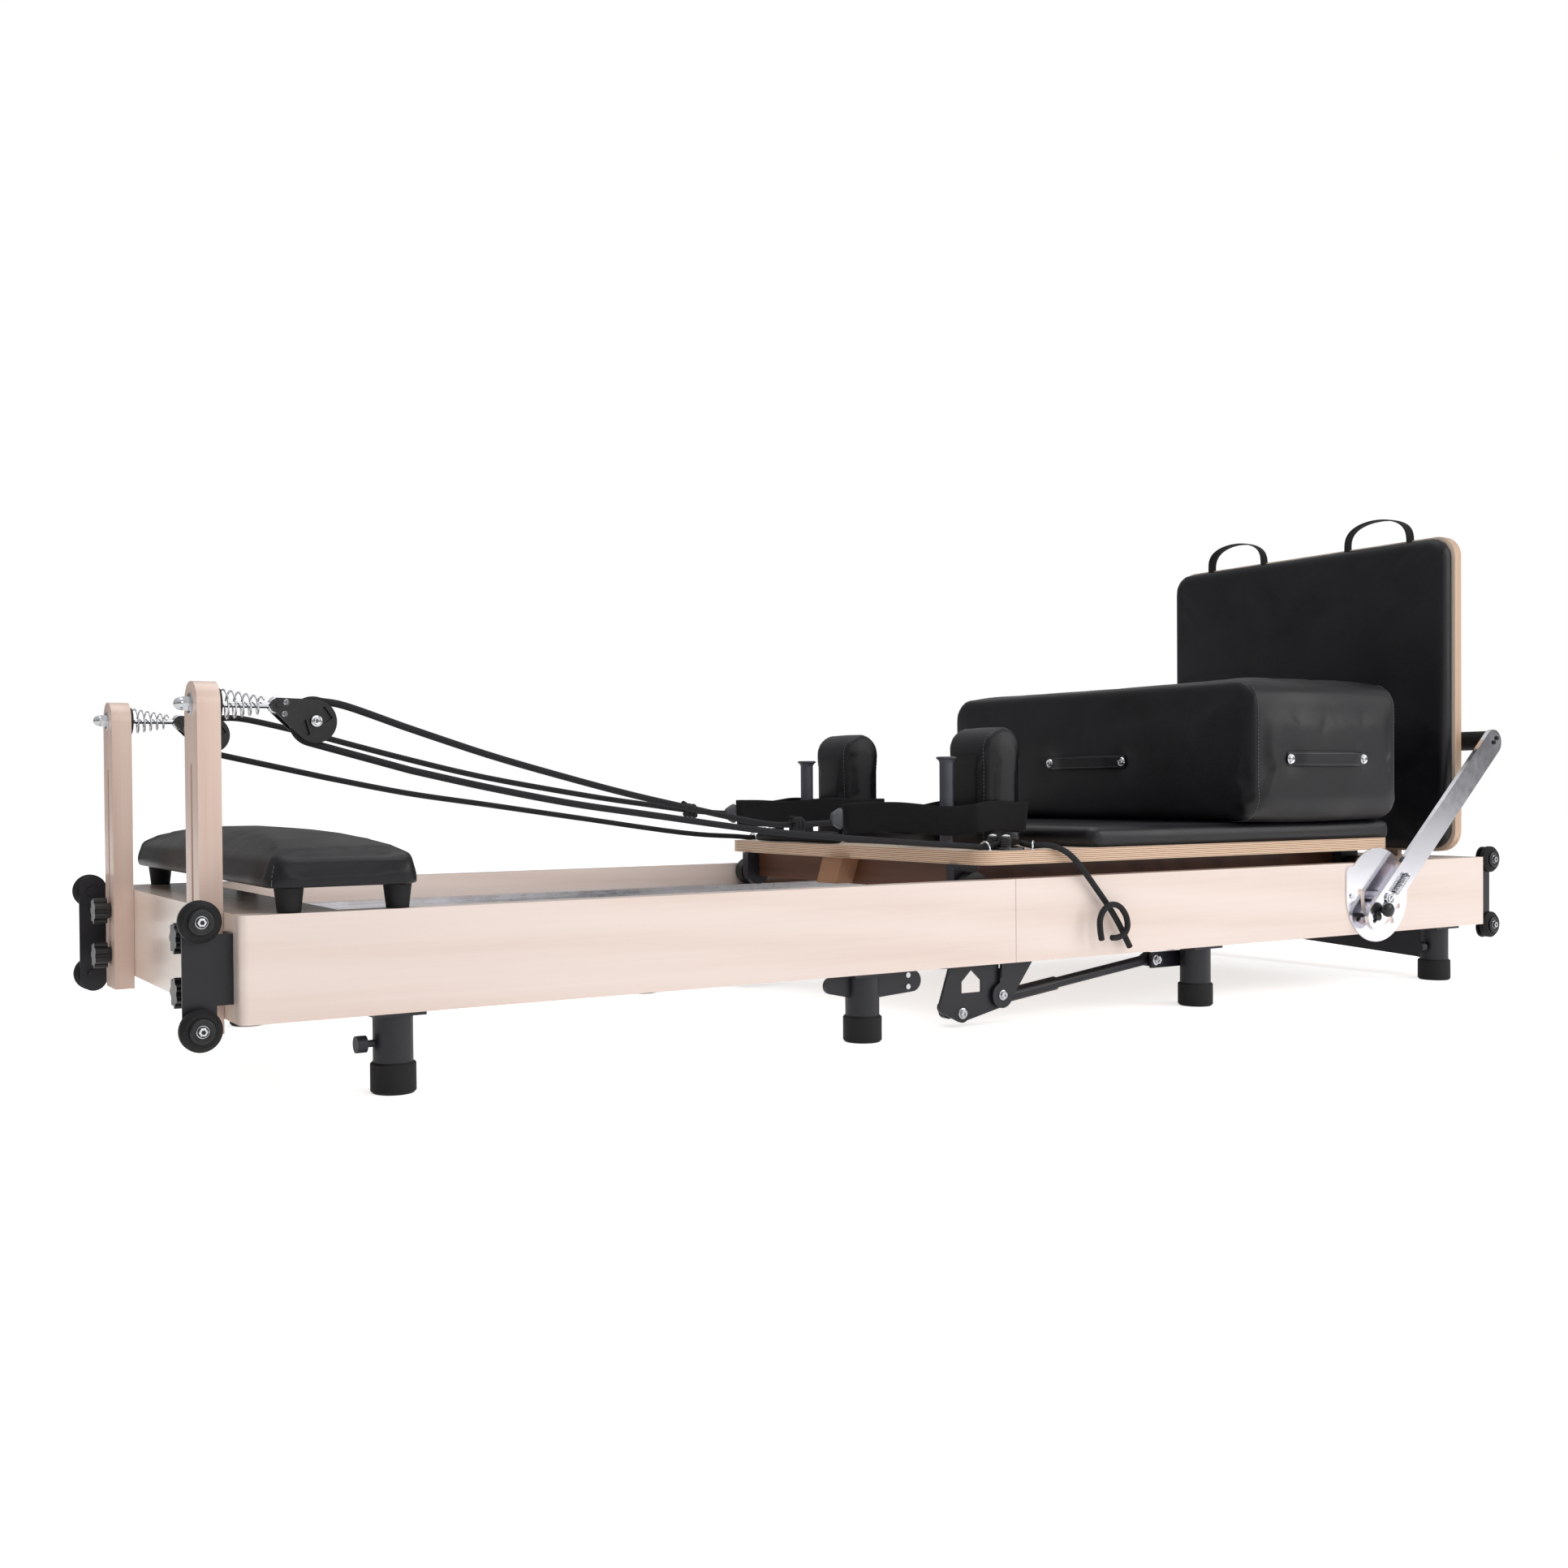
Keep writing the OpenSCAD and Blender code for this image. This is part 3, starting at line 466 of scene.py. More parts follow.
def add(tree, kind, values, **settings):
    """A new shader node with its sockets set."""
    node = tree.nodes.new("ShaderNode" + kind)
    for key, value in settings.items():
        setattr(node, key, value)
    feed(tree, node, values)
    return node


def camera_ray(tree):
    return add(tree, "LightPath", {}).outputs["Is Camera Ray"]


def coords(tree, scale=(1, 1, 1), source="Object"):
    where = add(tree, "TexCoord", {}).outputs[source]
    return add(tree, "Mapping", {"Vector": where, "Scale": scale}).outputs["Vector"]


def split_axes(tree, vector):
    return add(tree, "SeparateXYZ", {0: vector}).outputs


def noise(tree, vector, scale, detail=4, rough=0.55, warp=0.0):
    values = {"Vector": vector, "Scale": scale, "Detail": detail, "Roughness": rough, "Distortion": warp}
    return add(tree, "TexNoise", values).outputs["Fac"]


def pebbles(tree, vector, scale):
    return add(tree, "TexVoronoi", {"Vector": vector, "Scale": scale}, feature="F1").outputs["Distance"]


def maths(tree, kind, *values):
    return add(tree, "Math", dict(enumerate(values)), operation=kind).outputs[0]


def weighed(tree, *terms):
    """The sum of (value, weight) terms."""
    parts = [maths(tree, "MULTIPLY", value, weight) for value, weight in terms]
    total = parts[0]
    for part in parts[1:]:
        total = maths(tree, "ADD", total, part)
    return total


def wave(tree, value, low=0.0, high=1.0):
    """A sine wave of a value, between two levels."""
    half = (high - low) / 2
    return maths(tree, "ADD", maths(tree, "MULTIPLY", maths(tree, "SINE", value), half), low + half)


def ramp(tree, value, stops):
    n = add(tree, "ValToRGB", {"Fac": value})
    band = n.color_ramp
    while len(band.elements) < len(stops):
        band.elements.new(0.5)
    for element, (at, colour) in zip(band.elements, stops):
        element.position = at
        element.color = (*colour, 1)
    return n.outputs["Color"]


def mixed(tree, share, a, b):
    return add(tree, "Mix", {"Factor": share, 6: a, 7: b}, data_type="RGBA").outputs[2]


def span(tree, value, low, high, start=0.0, end=1.0):
    values = {"Value": value, "From Min": start, "From Max": end, "To Min": low, "To Max": high}
    return add(tree, "MapRange", values).outputs["Result"]


def finished(material, values, layers=()):
    """Feeds a material's shader, with (height, strength, distance) layers of bump, one on another."""
    tree = material.node_tree
    for height, strength, distance in layers:
        bump = {"Height": height, "Strength": strength, "Distance": distance}
        if "Normal" in values:
            bump["Normal"] = values["Normal"]
        values["Normal"] = add(tree, "Bump", bump).outputs["Normal"]
    feed(tree, tree.nodes["Principled BSDF"], values)
    return material


# ---- materials ----


def wood_colour(tree, light, dark, along):
    """Straight grain along one axis, with a slow figure and fine pores. Gives colour and fibre height."""
    stretch, fibre = [8.0] * 3, [170.0] * 3
    stretch[along], fibre[along] = 0.55, 3.0
    figure = noise(tree, coords(tree, stretch), 1.6, 3, 0.5, 1.4)
    rings = add(tree, "TexWave", {"Vector": coords(tree, stretch), "Scale": 1.1, "Distortion": 7.0,
                                  "Detail": 3.0, "Detail Scale": 0.8}, wave_type="BANDS", bands_direction="DIAGONAL")
    pores = noise(tree, coords(tree, fibre), 1.0, 5, 0.65)
    share = weighed(tree, (figure, 0.55), (rings.outputs["Fac"], 0.25), (pores, 0.35))
    middle = tuple((a * 2 + b) / 3 for a, b in zip(light, dark))
    return ramp(tree, share, [(0.3, light), (0.62, middle), (0.95, dark)]), pores


def wood(name, light, dark, along, rough=0.36, coat=0.35):
    material, tree = new_material(name)
    colour, pores = wood_colour(tree, light, dark, along)
    gloss = span(tree, pores, rough - 0.05, rough + 0.08)
    return finished(material, {"Base Color": colour, "Roughness": gloss, "Coat Weight": coat,
                               "Coat Roughness": 0.16}, [(pores, 0.12, 0.0003)])


def stained_wood():
    """Dark stained boards, with the lighter wedge in front of the first of them."""
    wedge_back = -0.0452
    material, tree = new_material("stained_wood")
    dark, pores = wood_colour(tree, rgb(96, 58, 38), rgb(50, 30, 22), 1)
    wedge = wood_colour(tree, rgb(158, 114, 84), rgb(118, 80, 56), 1)[0]
    in_front = maths(tree, "LESS_THAN", split_axes(tree, coords(tree))[0], wedge_back)
    return finished(material, {"Base Color": mixed(tree, in_front, dark, wedge),
                               "Roughness": span(tree, pores, 0.36, 0.5)}, [(pores, 0.12, 0.0003)])


def plywood(name, light, dark, along, through, layer=0.0030):
    """Veneered faces, and layered edges where the surface turns away from the through axis."""
    material, tree = new_material(name)
    face, pores = wood_colour(tree, light, dark, along)
    wander = noise(tree, coords(tree, (9, 9, 9)), 1, 2)
    height = split_axes(tree, coords(tree))[through]
    stripes = wave(tree, weighed(tree, (height, TAU / layer), (wander, 0.5)))
    fleck = noise(tree, coords(tree, (260, 260, 900)), 1, 4, 0.6)
    edge = ramp(tree, weighed(tree, (stripes, 0.75), (fleck, 0.25)),
                [(0.15, rgb(150, 106, 74)), (0.45, rgb(196, 160, 128)), (0.75, rgb(226, 202, 178))])
    turned = split_axes(tree, coords(tree, source="Normal"))[through]
    flat = maths(tree, "GREATER_THAN", maths(tree, "ABSOLUTE", turned), 0.75)
    return finished(material, {
        "Base Color": mixed(tree, flat, edge, face), "Roughness": span(tree, pores, 0.32, 0.46),
        "Coat Weight": 0.3, "Coat Roughness": 0.2,
    }, [(pores, 0.1, 0.0003), (stripes, 0.08, 0.0002)])


def leather(name, dark, light, rough=0.44, grain=520, specular=0.42):
    """Coated leather: fine pebbles, slow creases and uneven gloss."""
    material, tree = new_material(name)
    where = coords(tree)
    cells, fine = pebbles(tree, where, grain), noise(tree, where, grain * 2.2, 3, 0.6)
    slow = noise(tree, where, 9, 4, 0.55, 0.4)
    return finished(material, {
        "Base Color": ramp(tree, slow, [(0.3, dark), (0.7, light)]),
        "Roughness": span(tree, slow, rough - 0.06, rough + 0.1, 0.3, 0.7), "Specular IOR Level": specular,
    }, [(slow, 0.12, 0.002), (cells, 0.16, 0.0006), (fine, 0.1, 0.0003)])


def webbing(name, dark, light):
    """Woven strap, by its UV: ribs across it, herringbone along it."""
    rib_width, twill = 0.0017, TAU / 0.0024
    material, tree = new_material(name)
    u, v = split_axes(tree, coords(tree, source="UV"))[:2]
    slope = weighed(tree, (maths(tree, "PINGPONG", u, 0.006), twill), (v, twill))
    weave = maths(tree, "ADD", wave(tree, slope, -0.3, 0.3),
                  wave(tree, maths(tree, "MULTIPLY", u, TAU / rib_width), 0.3, 0.7))
    fuzz = noise(tree, coords(tree), 900, 3)
    return finished(material, {
        "Base Color": ramp(tree, weighed(tree, (weave, 0.7), (fuzz, 0.3)), [(0.2, dark), (0.8, light)]),
        "Roughness": span(tree, fuzz, 0.72, 0.9), "Specular IOR Level": 0.25, "Sheen Weight": 0.03,
    }, [(weave, 0.6, 0.0005), (fuzz, 0.25, 0.0003)])


def braid(name, dark, light, strands=8, lay=0.016):
    """Braided cord cover, by its UV: two families of strands cross round the rope."""
    material, tree = new_material(name)
    u, v = split_axes(tree, coords(tree, source="UV"))[:2]
    turn, run = maths(tree, "MULTIPLY", u, TAU * strands), maths(tree, "MULTIPLY", v, TAU * strands / 2 / lay)
    one, two = (maths(tree, "SINE", maths(tree, kind, turn, run)) for kind in ("ADD", "SUBTRACT"))
    cross = span(tree, maths(tree, "MULTIPLY", one, two), 0, 1, -1, 1)
    fuzz = noise(tree, coords(tree), 1300, 3)
    return finished(material, {
        "Base Color": ramp(tree, weighed(tree, (cross, 0.75), (fuzz, 0.25)), [(0.2, dark), (0.85, light)]),
        "Roughness": span(tree, fuzz, 0.65, 0.85), "Specular IOR Level": 0.3,
    }, [(cross, 0.7, 0.0006), (fuzz, 0.2, 0.0002)])


def painted(name, dark, light, rough=0.42, peel=340, strength=0.06, specular=0.5):
    """Powder coat or moulded plastic: a fine skin texture with slightly uneven gloss."""
    material, tree = new_material(name)
    where = coords(tree)
    skin, slow = noise(tree, where, peel, 3, 0.5), noise(tree, where, 14, 4, 0.6)
    return finished(material, {
        "Base Color": ramp(tree, slow, [(0.3, dark), (0.7, light)]),
        "Roughness": span(tree, slow, rough - 0.06, rough + 0.08, 0.3, 0.7), "Specular IOR Level": specular,
    }, [(skin, strength, 0.0004)])


def metal(name, dark, light, rough, brush=None, strength=0.02):
    """Plated or brushed metal. brush is the axis of the brushing, or none for polish."""
    material, tree = new_material(name)
    scale = [60.0] * 3
    if brush is not None:
        scale = [900.0] * 3
        scale[brush] = 6.0
    lines, slow = noise(tree, coords(tree, scale), 1, 3, 0.5), noise(tree, coords(tree), 22, 4, 0.6)
    share = weighed(tree, (lines, 0.5), (slow, 0.5))
    return finished(material, {
        "Base Color": ramp(tree, share, [(0.35, dark), (0.65, light)]), "Metallic": 1,
        "Roughness": span(tree, share, rough * 0.7, rough * 1.4, 0.3, 0.7),
    }, [(lines, strength, 0.0002)])


def make_materials():
    pale, tan = rgb(236, 221, 213), rgb(222, 199, 187)
    pink, brown = rgb(228, 203, 190), rgb(205, 172, 156)
    veneer = rgb(232, 214, 198), rgb(200, 173, 152)
    return {
        "maple_x": wood("maple_along_x", pale, tan, 0),
        "maple_y": wood("maple_along_y", rgb(233, 216, 205), rgb(214, 189, 172), 1, 0.22, 0.6),
        "maple_z": wood("maple_along_z", pink, brown, 2),
        "board": plywood("ply_board", *veneer, 0, 2),
        "upright": plywood("ply_upright", *veneer, 2, 0),
        "walnut": stained_wood(),
        "leather": leather("black_leather", rgb(7, 8, 12), rgb(16, 17, 23), 0.4, 520, 0.34),
        "pad": leather("black_pad_leather", rgb(9, 10, 14), rgb(19, 20, 26), 0.36, 520, 0.42),
        "sleeve": leather("grip_sleeve", rgb(10, 10, 12), rgb(18, 18, 20), 0.6, 700, 0.25),
        "webbing": webbing("woven_strap", rgb(5, 5, 7), rgb(24, 24, 27)),
        "rope": braid("braided_rope", rgb(7, 7, 9), rgb(48, 48, 52)),
        "powder": painted("black_powder_coat", rgb(15, 16, 22), rgb(27, 28, 37), 0.4),
        "rubber": painted("black_rubber", rgb(10, 10, 12), rgb(21, 21, 24), 0.62, 220, 0.1, 0.35),
        "plastic": painted("black_plastic", rgb(11, 11, 14), rgb(22, 22, 26), 0.32, 420, 0.03),
        "peg": painted("grey_plastic", rgb(58, 60, 70), rgb(76, 78, 90), 0.42, 380, 0.05),
        "clip": painted("clip_plastic", rgb(58, 60, 64), rgb(82, 85, 90), 0.4, 380, 0.05),
        "chrome": metal("chrome", rgb(190, 192, 196), rgb(214, 216, 220), 0.08, None, 0.005),
        "mirror": metal("polished_plate", rgb(226, 225, 232), rgb(236, 235, 241), 0.13, None, 0.004),
        "steel": metal("steel", rgb(140, 142, 146), rgb(190, 192, 196), 0.28),
        "alu": metal("brushed_aluminium", rgb(204, 207, 214), rgb(220, 223, 230), 0.26, 0, 0.02),
        "thread": painted("grey_thread", rgb(84, 84, 88), rgb(120, 120, 124), 0.7, 1500, 0.1, 0.2),
    }


# ---- ropes ----

ROPE_R = 0.0047
SHEAVE_AT = (-1.054, 0.456)
WRAP_R = 0.0267
POST_Y = 0.258
UPPER = {
    NEAR: [(-0.166, -0.128, 0.313), (-0.230, -0.126, 0.311), (-0.310, -0.136, 0.314), (-0.456, -0.161, 0.340),
           (-0.570, -0.180, 0.362), (-0.690, -0.199, 0.389), (-0.805, -0.218, 0.417), (-0.930, -0.240, 0.452)],
    FAR: [(-0.166, 0.192, 0.324), (-0.232, 0.200, 0.329), (-0.320, 0.207, 0.341), (-0.430, 0.215, 0.357),
          (-0.614, 0.227, 0.389), (-0.750, 0.237, 0.420), (-0.875, 0.246, 0.452)],
}
JOIN = {NEAR: (-1.010, -0.253, 0.476), FAR: (-1.000, 0.254, 0.480)}
LOWER = {
    NEAR: [(-0.930, -0.266, 0.395), (-0.830, -0.274, 0.373), (-0.715, -0.283, 0.351), (-0.600, -0.292, 0.334),
           (-0.440, -0.303, 0.311), (-0.340, -0.310, 0.300), (-0.200, -0.319, 0.288), (-0.070, -0.326, 0.2785),
           (-0.031, -0.3274, 0.276), (0.006, -0.326, 0.2805)],
    FAR: [(-0.872, 0.272, 0.391), (-0.733, 0.283, 0.365), (-0.584, 0.295, 0.344), (-0.422, 0.310, 0.321),
          (-0.190, 0.320, 0.288), (-0.070, 0.326, 0.2785), (-0.031, 0.3274, 0.276), (0.006, 0.326, 0.2805)],
}
TAIL = [(0.0385, -0.332, 0.2805), (0.050, -0.3465, 0.2764), (0.063, -0.360, 0.2775), (0.078, -0.370, 0.2735),
        (0.096, -0.375, 0.264), (0.116, -0.376, 0.248), (0.138, -0.375, 0.226), (0.160, -0.374, 0.203),
        (0.184, -0.374, 0.176), (0.204, -0.374, 0.150), (0.218, -0.374, 0.128), (0.228, -0.374, 0.112)]
TAIL_RING = [(0.156, -0.385, 0.128), (0.152, -0.386, 0.144), (0.152, -0.386, 0.160), (0.160, -0.386, 0.174),
             (0.176, -0.386, 0.182), (0.194, -0.386, 0.178), (0.206, -0.387, 0.164), (0.210, -0.387, 0.148),
             (0.204, -0.387, 0.136), (0.190, -0.387, 0.130), (0.176, -0.3865, 0.130)]


def wrap_arc(side):
    """The rope's path round its pulley wheel."""
    return [Vector((p.x, side * POST_Y, p.y)) for p in arc_of(*SHEAVE_AT, WRAP_R, 70, 255, 18)]


def knot_round(path, at, turns=2.6, wide=0.0085, run=0.021):
    """Turns of rope thrown round a rope, with a short free tip."""
    spots = even(path, 0.002)
    first = min(range(len(spots)), key=lambda i: (spots[i] - Vector(at)).length)
    frames_here = carried_frames(spots)
    line, n = [], int(turns * 16)
    for k in range(n + 1):
        i = min(len(spots) - 1, first + round(run / 0.002 * k / n))
        t, s, o = frames_here[i]
        a = TAU * turns * k / n
        line.append(spots[i] + (s * math.cos(a) + o * math.sin(a)) * wide)
    t, s, o = frames_here[i]
    way = (line[-1] - spots[i]).normalized()
    line += [line[-1] + way * 0.006 + t * 0.006, line[-1] + way * 0.010 + t * 0.014]
    return line


def make_ropes(side):
    """One rope in three lengths: to the loop, round the pulley wheel, and back to the cleat."""
    word = SIDE_NAME[side]
    arc = wrap_arc(side)
    upper = spline(UPPER[side], 5) + spline([UPPER[side][-1], JOIN[side], arc[0], arc[1]], 5)[1:-5]
    lower = [arc[-1]] + spline(LOWER[side], 5)
    made = []
    for part, path, body, step in (("upper_", upper, "left_frame", 0.008), ("wrap_", arc, "pulley_" + word, 0.003),
                                   ("lower_", lower, "left_frame", 0.008)):
        path = even(path, step)
        rope = Shape().tube(path, ROPE_R, 14).make("rope_" + part + word, MAT["rope"], body, slot="rope")
        made.append(rope)
    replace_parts(made[0], "rope_" + word)
    for rope, path, pulley_end in ((made[0], upper, min(p.x for p in upper)), (made[2], lower, arc[-1].x)):
        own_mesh(rope)
    knot = Shape().tube(knot_round(upper, upper[5]), 0.0042, 12)
    knot.make("rope_knot_" + word, MAT["rope"], "carriage", slot="rope")


def make_tail():
    """The near rope's free end, over the board's edge, with a loose overhand knot near its tip."""
    path = even(spline(TAIL, 4), 0.006)
    ring = Shape().tube(even(spline(TAIL_RING, 5), 0.004), ROPE_R, 14)
    ring = ring.make("rope_tail_knot", MAT["rope"], "carriage", slot="rope")
    tail = Shape().tube(path, ROPE_R, 14).make("rope_tail_end", MAT["rope"], "carriage", slot="rope")
    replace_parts(tail, "rope_tail")


# ---- padded pieces ----

BOARD_TOP = 0.2705
PAD_TOP = 0.304
REST_X, REST_Y, REST_H = (0.050, 0.127), (0.137, 0.243), 0.1965
BOX_X, BOX_L, BOX_W, BOX_H = 0.502, 0.386, 0.779, 0.2455
JUMP_X, JUMP_Z, JUMP_W, JUMP_H = 1.125, 0.237, 0.670, 0.601


def finish_pad(pad, body, node):
    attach(pad, body)
    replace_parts(pad, node)


def make_rest(side):
    """A shoulder rest: a band over an arch between two flat panels, sewn along both edges."""
    gap = 0.001  # inside the CAD solid all round
    r = (REST_X[1] - REST_X[0]) / 2 - gap
    mid, spring = sum(REST_X) / 2, BOARD_TOP + REST_H - r - gap
    foot = [Vector((mid + s * r, BOARD_TOP + gap)) for s in (-1, 1)]
    outline = foot + arc_of(mid, spring, r, 0, 180, 15)
    width = REST_Y[1] - REST_Y[0] - 2 * gap
    base = REST_Y[0] + gap if side == FAR else -(REST_Y[0] + gap + width)
    name = "shoulder_rest_" + SIDE_NAME[side]
    pad = cushion(name, outline, (mid, 0.37), lambda p, h: Vector((p.x, base + h, p.y)), width,
                  (0.007, 0.002), (0.007, 0.002), MAT["leather"], 0.001, 0.009)
    swell(pad, 0.005, 0.003, lambda p: p[2] < BOARD_TOP + 0.006)
    seams, threads = [], []
    around = outline[1:] + outline[:1]
    for y, inner in ((base + 0.007, 0.0045), (base + width - 0.007, -0.0045)):
        seams += even([Vector((p.x, y, p.y)) for p in around], 0.003)
        threads.append([Vector((p.x, y + inner, p.y)) for p in around])
    dent(pad, seams, 0.0012, 0.0025)
    sewn(name + "_stitches", pad, threads, "carriage")
    finish_pad(pad, "carriage", "shoulder_rests")


def make_box():
    """The sitting box: two panels and a band round them, sewn at the panel edges, dented at the handles."""
    w, top = BOX_W / 2 - 0.002, PAD_TOP + BOX_H - 0.002
    outline = rounded(-w, w, PAD_TOP + 0.0005, top, 0.04, 8)
    centre = (0, PAD_TOP + BOX_H / 2)
    x0, deep = BOX_X + 0.001, BOX_L - 0.002
    pad = cushion("sitting_box_cover", outline, centre, lambda p, h: Vector((x0 + h, p.x, p.y)), deep,
                  (0.008, 0.003), (0.008, 0.003), MAT["leather"], 0.003, 0.014)
    swell(pad, 0.008, 0.004, lambda p: p[2] < PAD_TOP + 0.006)
    z = PAD_TOP + 0.107
    buttons = [Vector((BOX_X, y, z)) for y in (-0.095, 0.095)]
    buttons += [Vector((x, s * w, z)) for x in (0.590, 0.776) for s in (NEAR, FAR)]
    for b in buttons:
        dent(pad, [b], 0.0035, 0.022)
    seams, threads = [], []
    closed = outline + outline[:1]
    for x, inner in ((x0 + 0.009, 0.005), (x0 + deep - 0.009, -0.005)):
        seams += even([Vector((x, p.x, p.y)) for p in closed], 0.004)
        threads.append([Vector((x + inner, p.x, p.y)) for p in closed])
    dent(pad, seams, 0.0014, 0.003)
    sewn("sitting_box_stitches", pad, threads, "sitting_box")
    finish_pad(pad, "sitting_box", "sitting_box")
    handle("front", [Vector((BOX_X, y, z)) for y in (0.104, -0.104)], Vector((-1, 0, 0)))
    for side in (NEAR, FAR):
        ends = [Vector((x, side * BOX_W / 2, z)) for x in (0.577, 0.789)]
        handle(SIDE_NAME[side], ends, Vector((0, side, 0)))


def handle(word, ends, out):
    """A leather strap that stands off the box between two screws with cup washers."""
    name, width, thick = "box_handle_" + word, 0.026, 0.003
    flat_end, ramp_length, low, rise = 0.022, 0.016, 0.0015, 0.0085
    a, b = ends
    way, total = (b - a).normalized(), (b - a).length
    up = out.cross(way)
    path = []
    for t in (k / 24 for k in range(25)):
        share = min(1, max(0, (min(t, 1 - t) * total - flat_end) / ramp_length))
        path.append(a + way * total * t + out * (low + rise * share))
    smoothed = [(path[max(0, i - 1)] + p + path[min(24, i + 1)]) / 3 for i, p in enumerate(path)]
    strap = Shape().band(smoothed, up, width, thick).make(name, MAT["leather"], "sitting_box", slot="leather")
    finer(strap)
    rows = [[p + up * s * (width / 2 - 0.004) + out * 0.002 for p in smoothed[2:-2]] for s in (-1, 1)]
    sewn(name + "_stitches", strap, rows, "sitting_box", 0.005, 0.0034, 0.0004)
    screws = Shape()
    washer = [(0.0085, 0), (0.0088, 0.0012), (0.0075, 0.0026), (0.0055, 0.0022), (0.0052, 0.0018)]
    head = [(0.0048, 0.001), (0.0048, 0.0030), (0.0042, 0.0040), (0.0026, 0.0044), (0.0022, 0.0022)]
    for end in (a + way * 0.011, b - way * 0.011):
        screws.lathe(end + out * 0.0028, out, washer, 28).lathe(end + out * 0.0028, out, head, 24)
    sharpen(screws.make(name + "_screws", MAT["chrome"], "sitting_box"))


def make_carriage_pad():
    """The carriage's mattress: a main part and a narrow neck between the shoulder rests."""
    x_neck, x_main, x_end, y_neck, y_main, r = 0.021, 0.170, 0.908, 0.124, 0.354, 0.012
    step = 0.004  # of the cut corners between the two parts

    def corner(x, y, start):
        return arc_of(x, y, r, start, start + 90, 3)

    outline = (corner(x_end - r, y_main - r, 0) + corner(x_main + r, y_main - r, 90)
               + [Vector((x_main, y_neck + step)), Vector((x_main - step, y_neck))]
               + corner(x_neck + r, y_neck - r, 90) + corner(x_neck + r, r - y_neck, 180)
               + [Vector((x_main - step, -y_neck)), Vector((x_main, -y_neck - step))]
               + corner(x_main + r, r - y_main, 180) + corner(x_end - r, r - y_main, 270))
    pad = cushion("carriage_pad_cover", outline, (0.45, 0), lambda p, h: Vector((p.x, p.y, BOARD_TOP + h)),
                  PAD_TOP - BOARD_TOP, (0.003, 0), (0.010, 0.0008), MAT["pad"], 0.0012, 0.014)
    swell(pad, 0.008, 0.002, lambda p: p[2] < BOARD_TOP + 0.004 or p[2] > PAD_TOP - 0.004)
    inner = 0.003  # of the creases, from the outline's corners
    for x, y in ((x_end - inner, y_main - inner), (x_main + inner, y_main - inner), (x_neck + inner, y_neck - inner)):
        for s in (NEAR, FAR):
            fold = [Vector((x, s * y, BOARD_TOP + 0.002)), Vector((x, s * y, PAD_TOP - 0.006))]
            dent(pad, even(fold, 0.002), 0.0012, 0.0022)
    finish_pad(pad, "carriage", "carriage_pad")


def make_jump_pad():
    """The jump board's padding: a thin cover pulled over foam, folded at its corners."""
    y, low, high = JUMP_W / 2 - 0.003, JUMP_Z + 0.003, JUMP_Z + JUMP_H - 0.003
    outline = rounded(-y, y, low, high, 0.037, 8)
    pad = cushion("jump_pad_cover", outline, (0, (low + high) / 2),
                  lambda p, h: Vector((JUMP_X - h, p.x, p.y)),
                  0.030, (0.002, 0), (0.009, 0.002), MAT["leather"], 0.001, 0.014)
    swell(pad, 0.008, 0.002, lambda p: p[0] > JUMP_X - 0.003)
    for s in (NEAR, FAR):
        for z in (low + 0.011, high - 0.011):
            fold = [Vector((x, s * (y - 0.011), z)) for x in (JUMP_X - 0.012, JUMP_X - 0.026)]
            dent(pad, even(fold, 0.002), 0.0009, 0.0024)
    finish_pad(pad, "jump_board", "jump_pad")


def make_stool_pad():
    """The standing platform's padding: straight sides, round shoulder and a crowned top."""
    x, half_x, half_y, low, deep = -1.050, 0.094, 0.374, 0.2565, 0.0610
    outline = rounded(x - half_x, x + half_x, -half_y, half_y, 0.022, 6)
    pad = cushion("stool_pad_cover", outline, (x, 0), lambda p, h: Vector((p.x, p.y, low + h)), deep,
                  (0.004, 0), (0.016, 0.021), MAT["leather"], 0.0015, 0.011)
    swell(pad, 0.006, 0.004, lambda p: p[2] < low + 0.006)
    folds = [[Vector((x + sx * (half_x - 0.006), sy * (half_y - 0.006), low + z)) for z in (0.002, 0.030)]
             for sx in (-1, 1) for sy in (-1, 1)]
    for fold in folds:
        dent(pad, even(fold, 0.002), 0.0012, 0.0028)
    threads = [[p + Vector((0.004 * (1 if p.x > x else -1), 0, 0)) for p in fold] for fold in folds]
    sewn("stool_pad_stitches", pad, threads, "stool")
    finish_pad(pad, "stool", "stool_pad")


# ---- straps ----


def loop_path(apex, y_in, y_out):
    """The line that a foot strap takes from its gathered end round a rest and its peg."""
    x_end, g = REST_X[1] + 0.007, 0.002
    corners = [(apex[0], apex[1] - 0.007), (apex[0], apex[1] + 0.007), (0.0, y_in + 0.006 + g),
               (x_end - 0.010, y_in + 0.006 + g), (x_end + g, y_in - 0.006), (x_end + g, y_out + 0.006),
               (x_end - 0.010, y_out - 0.006 - g), (0.020, y_out - 0.006 - g)]
    return even([Vector((x, y, 0)) for x, y in corners], 0.006, closed=True)


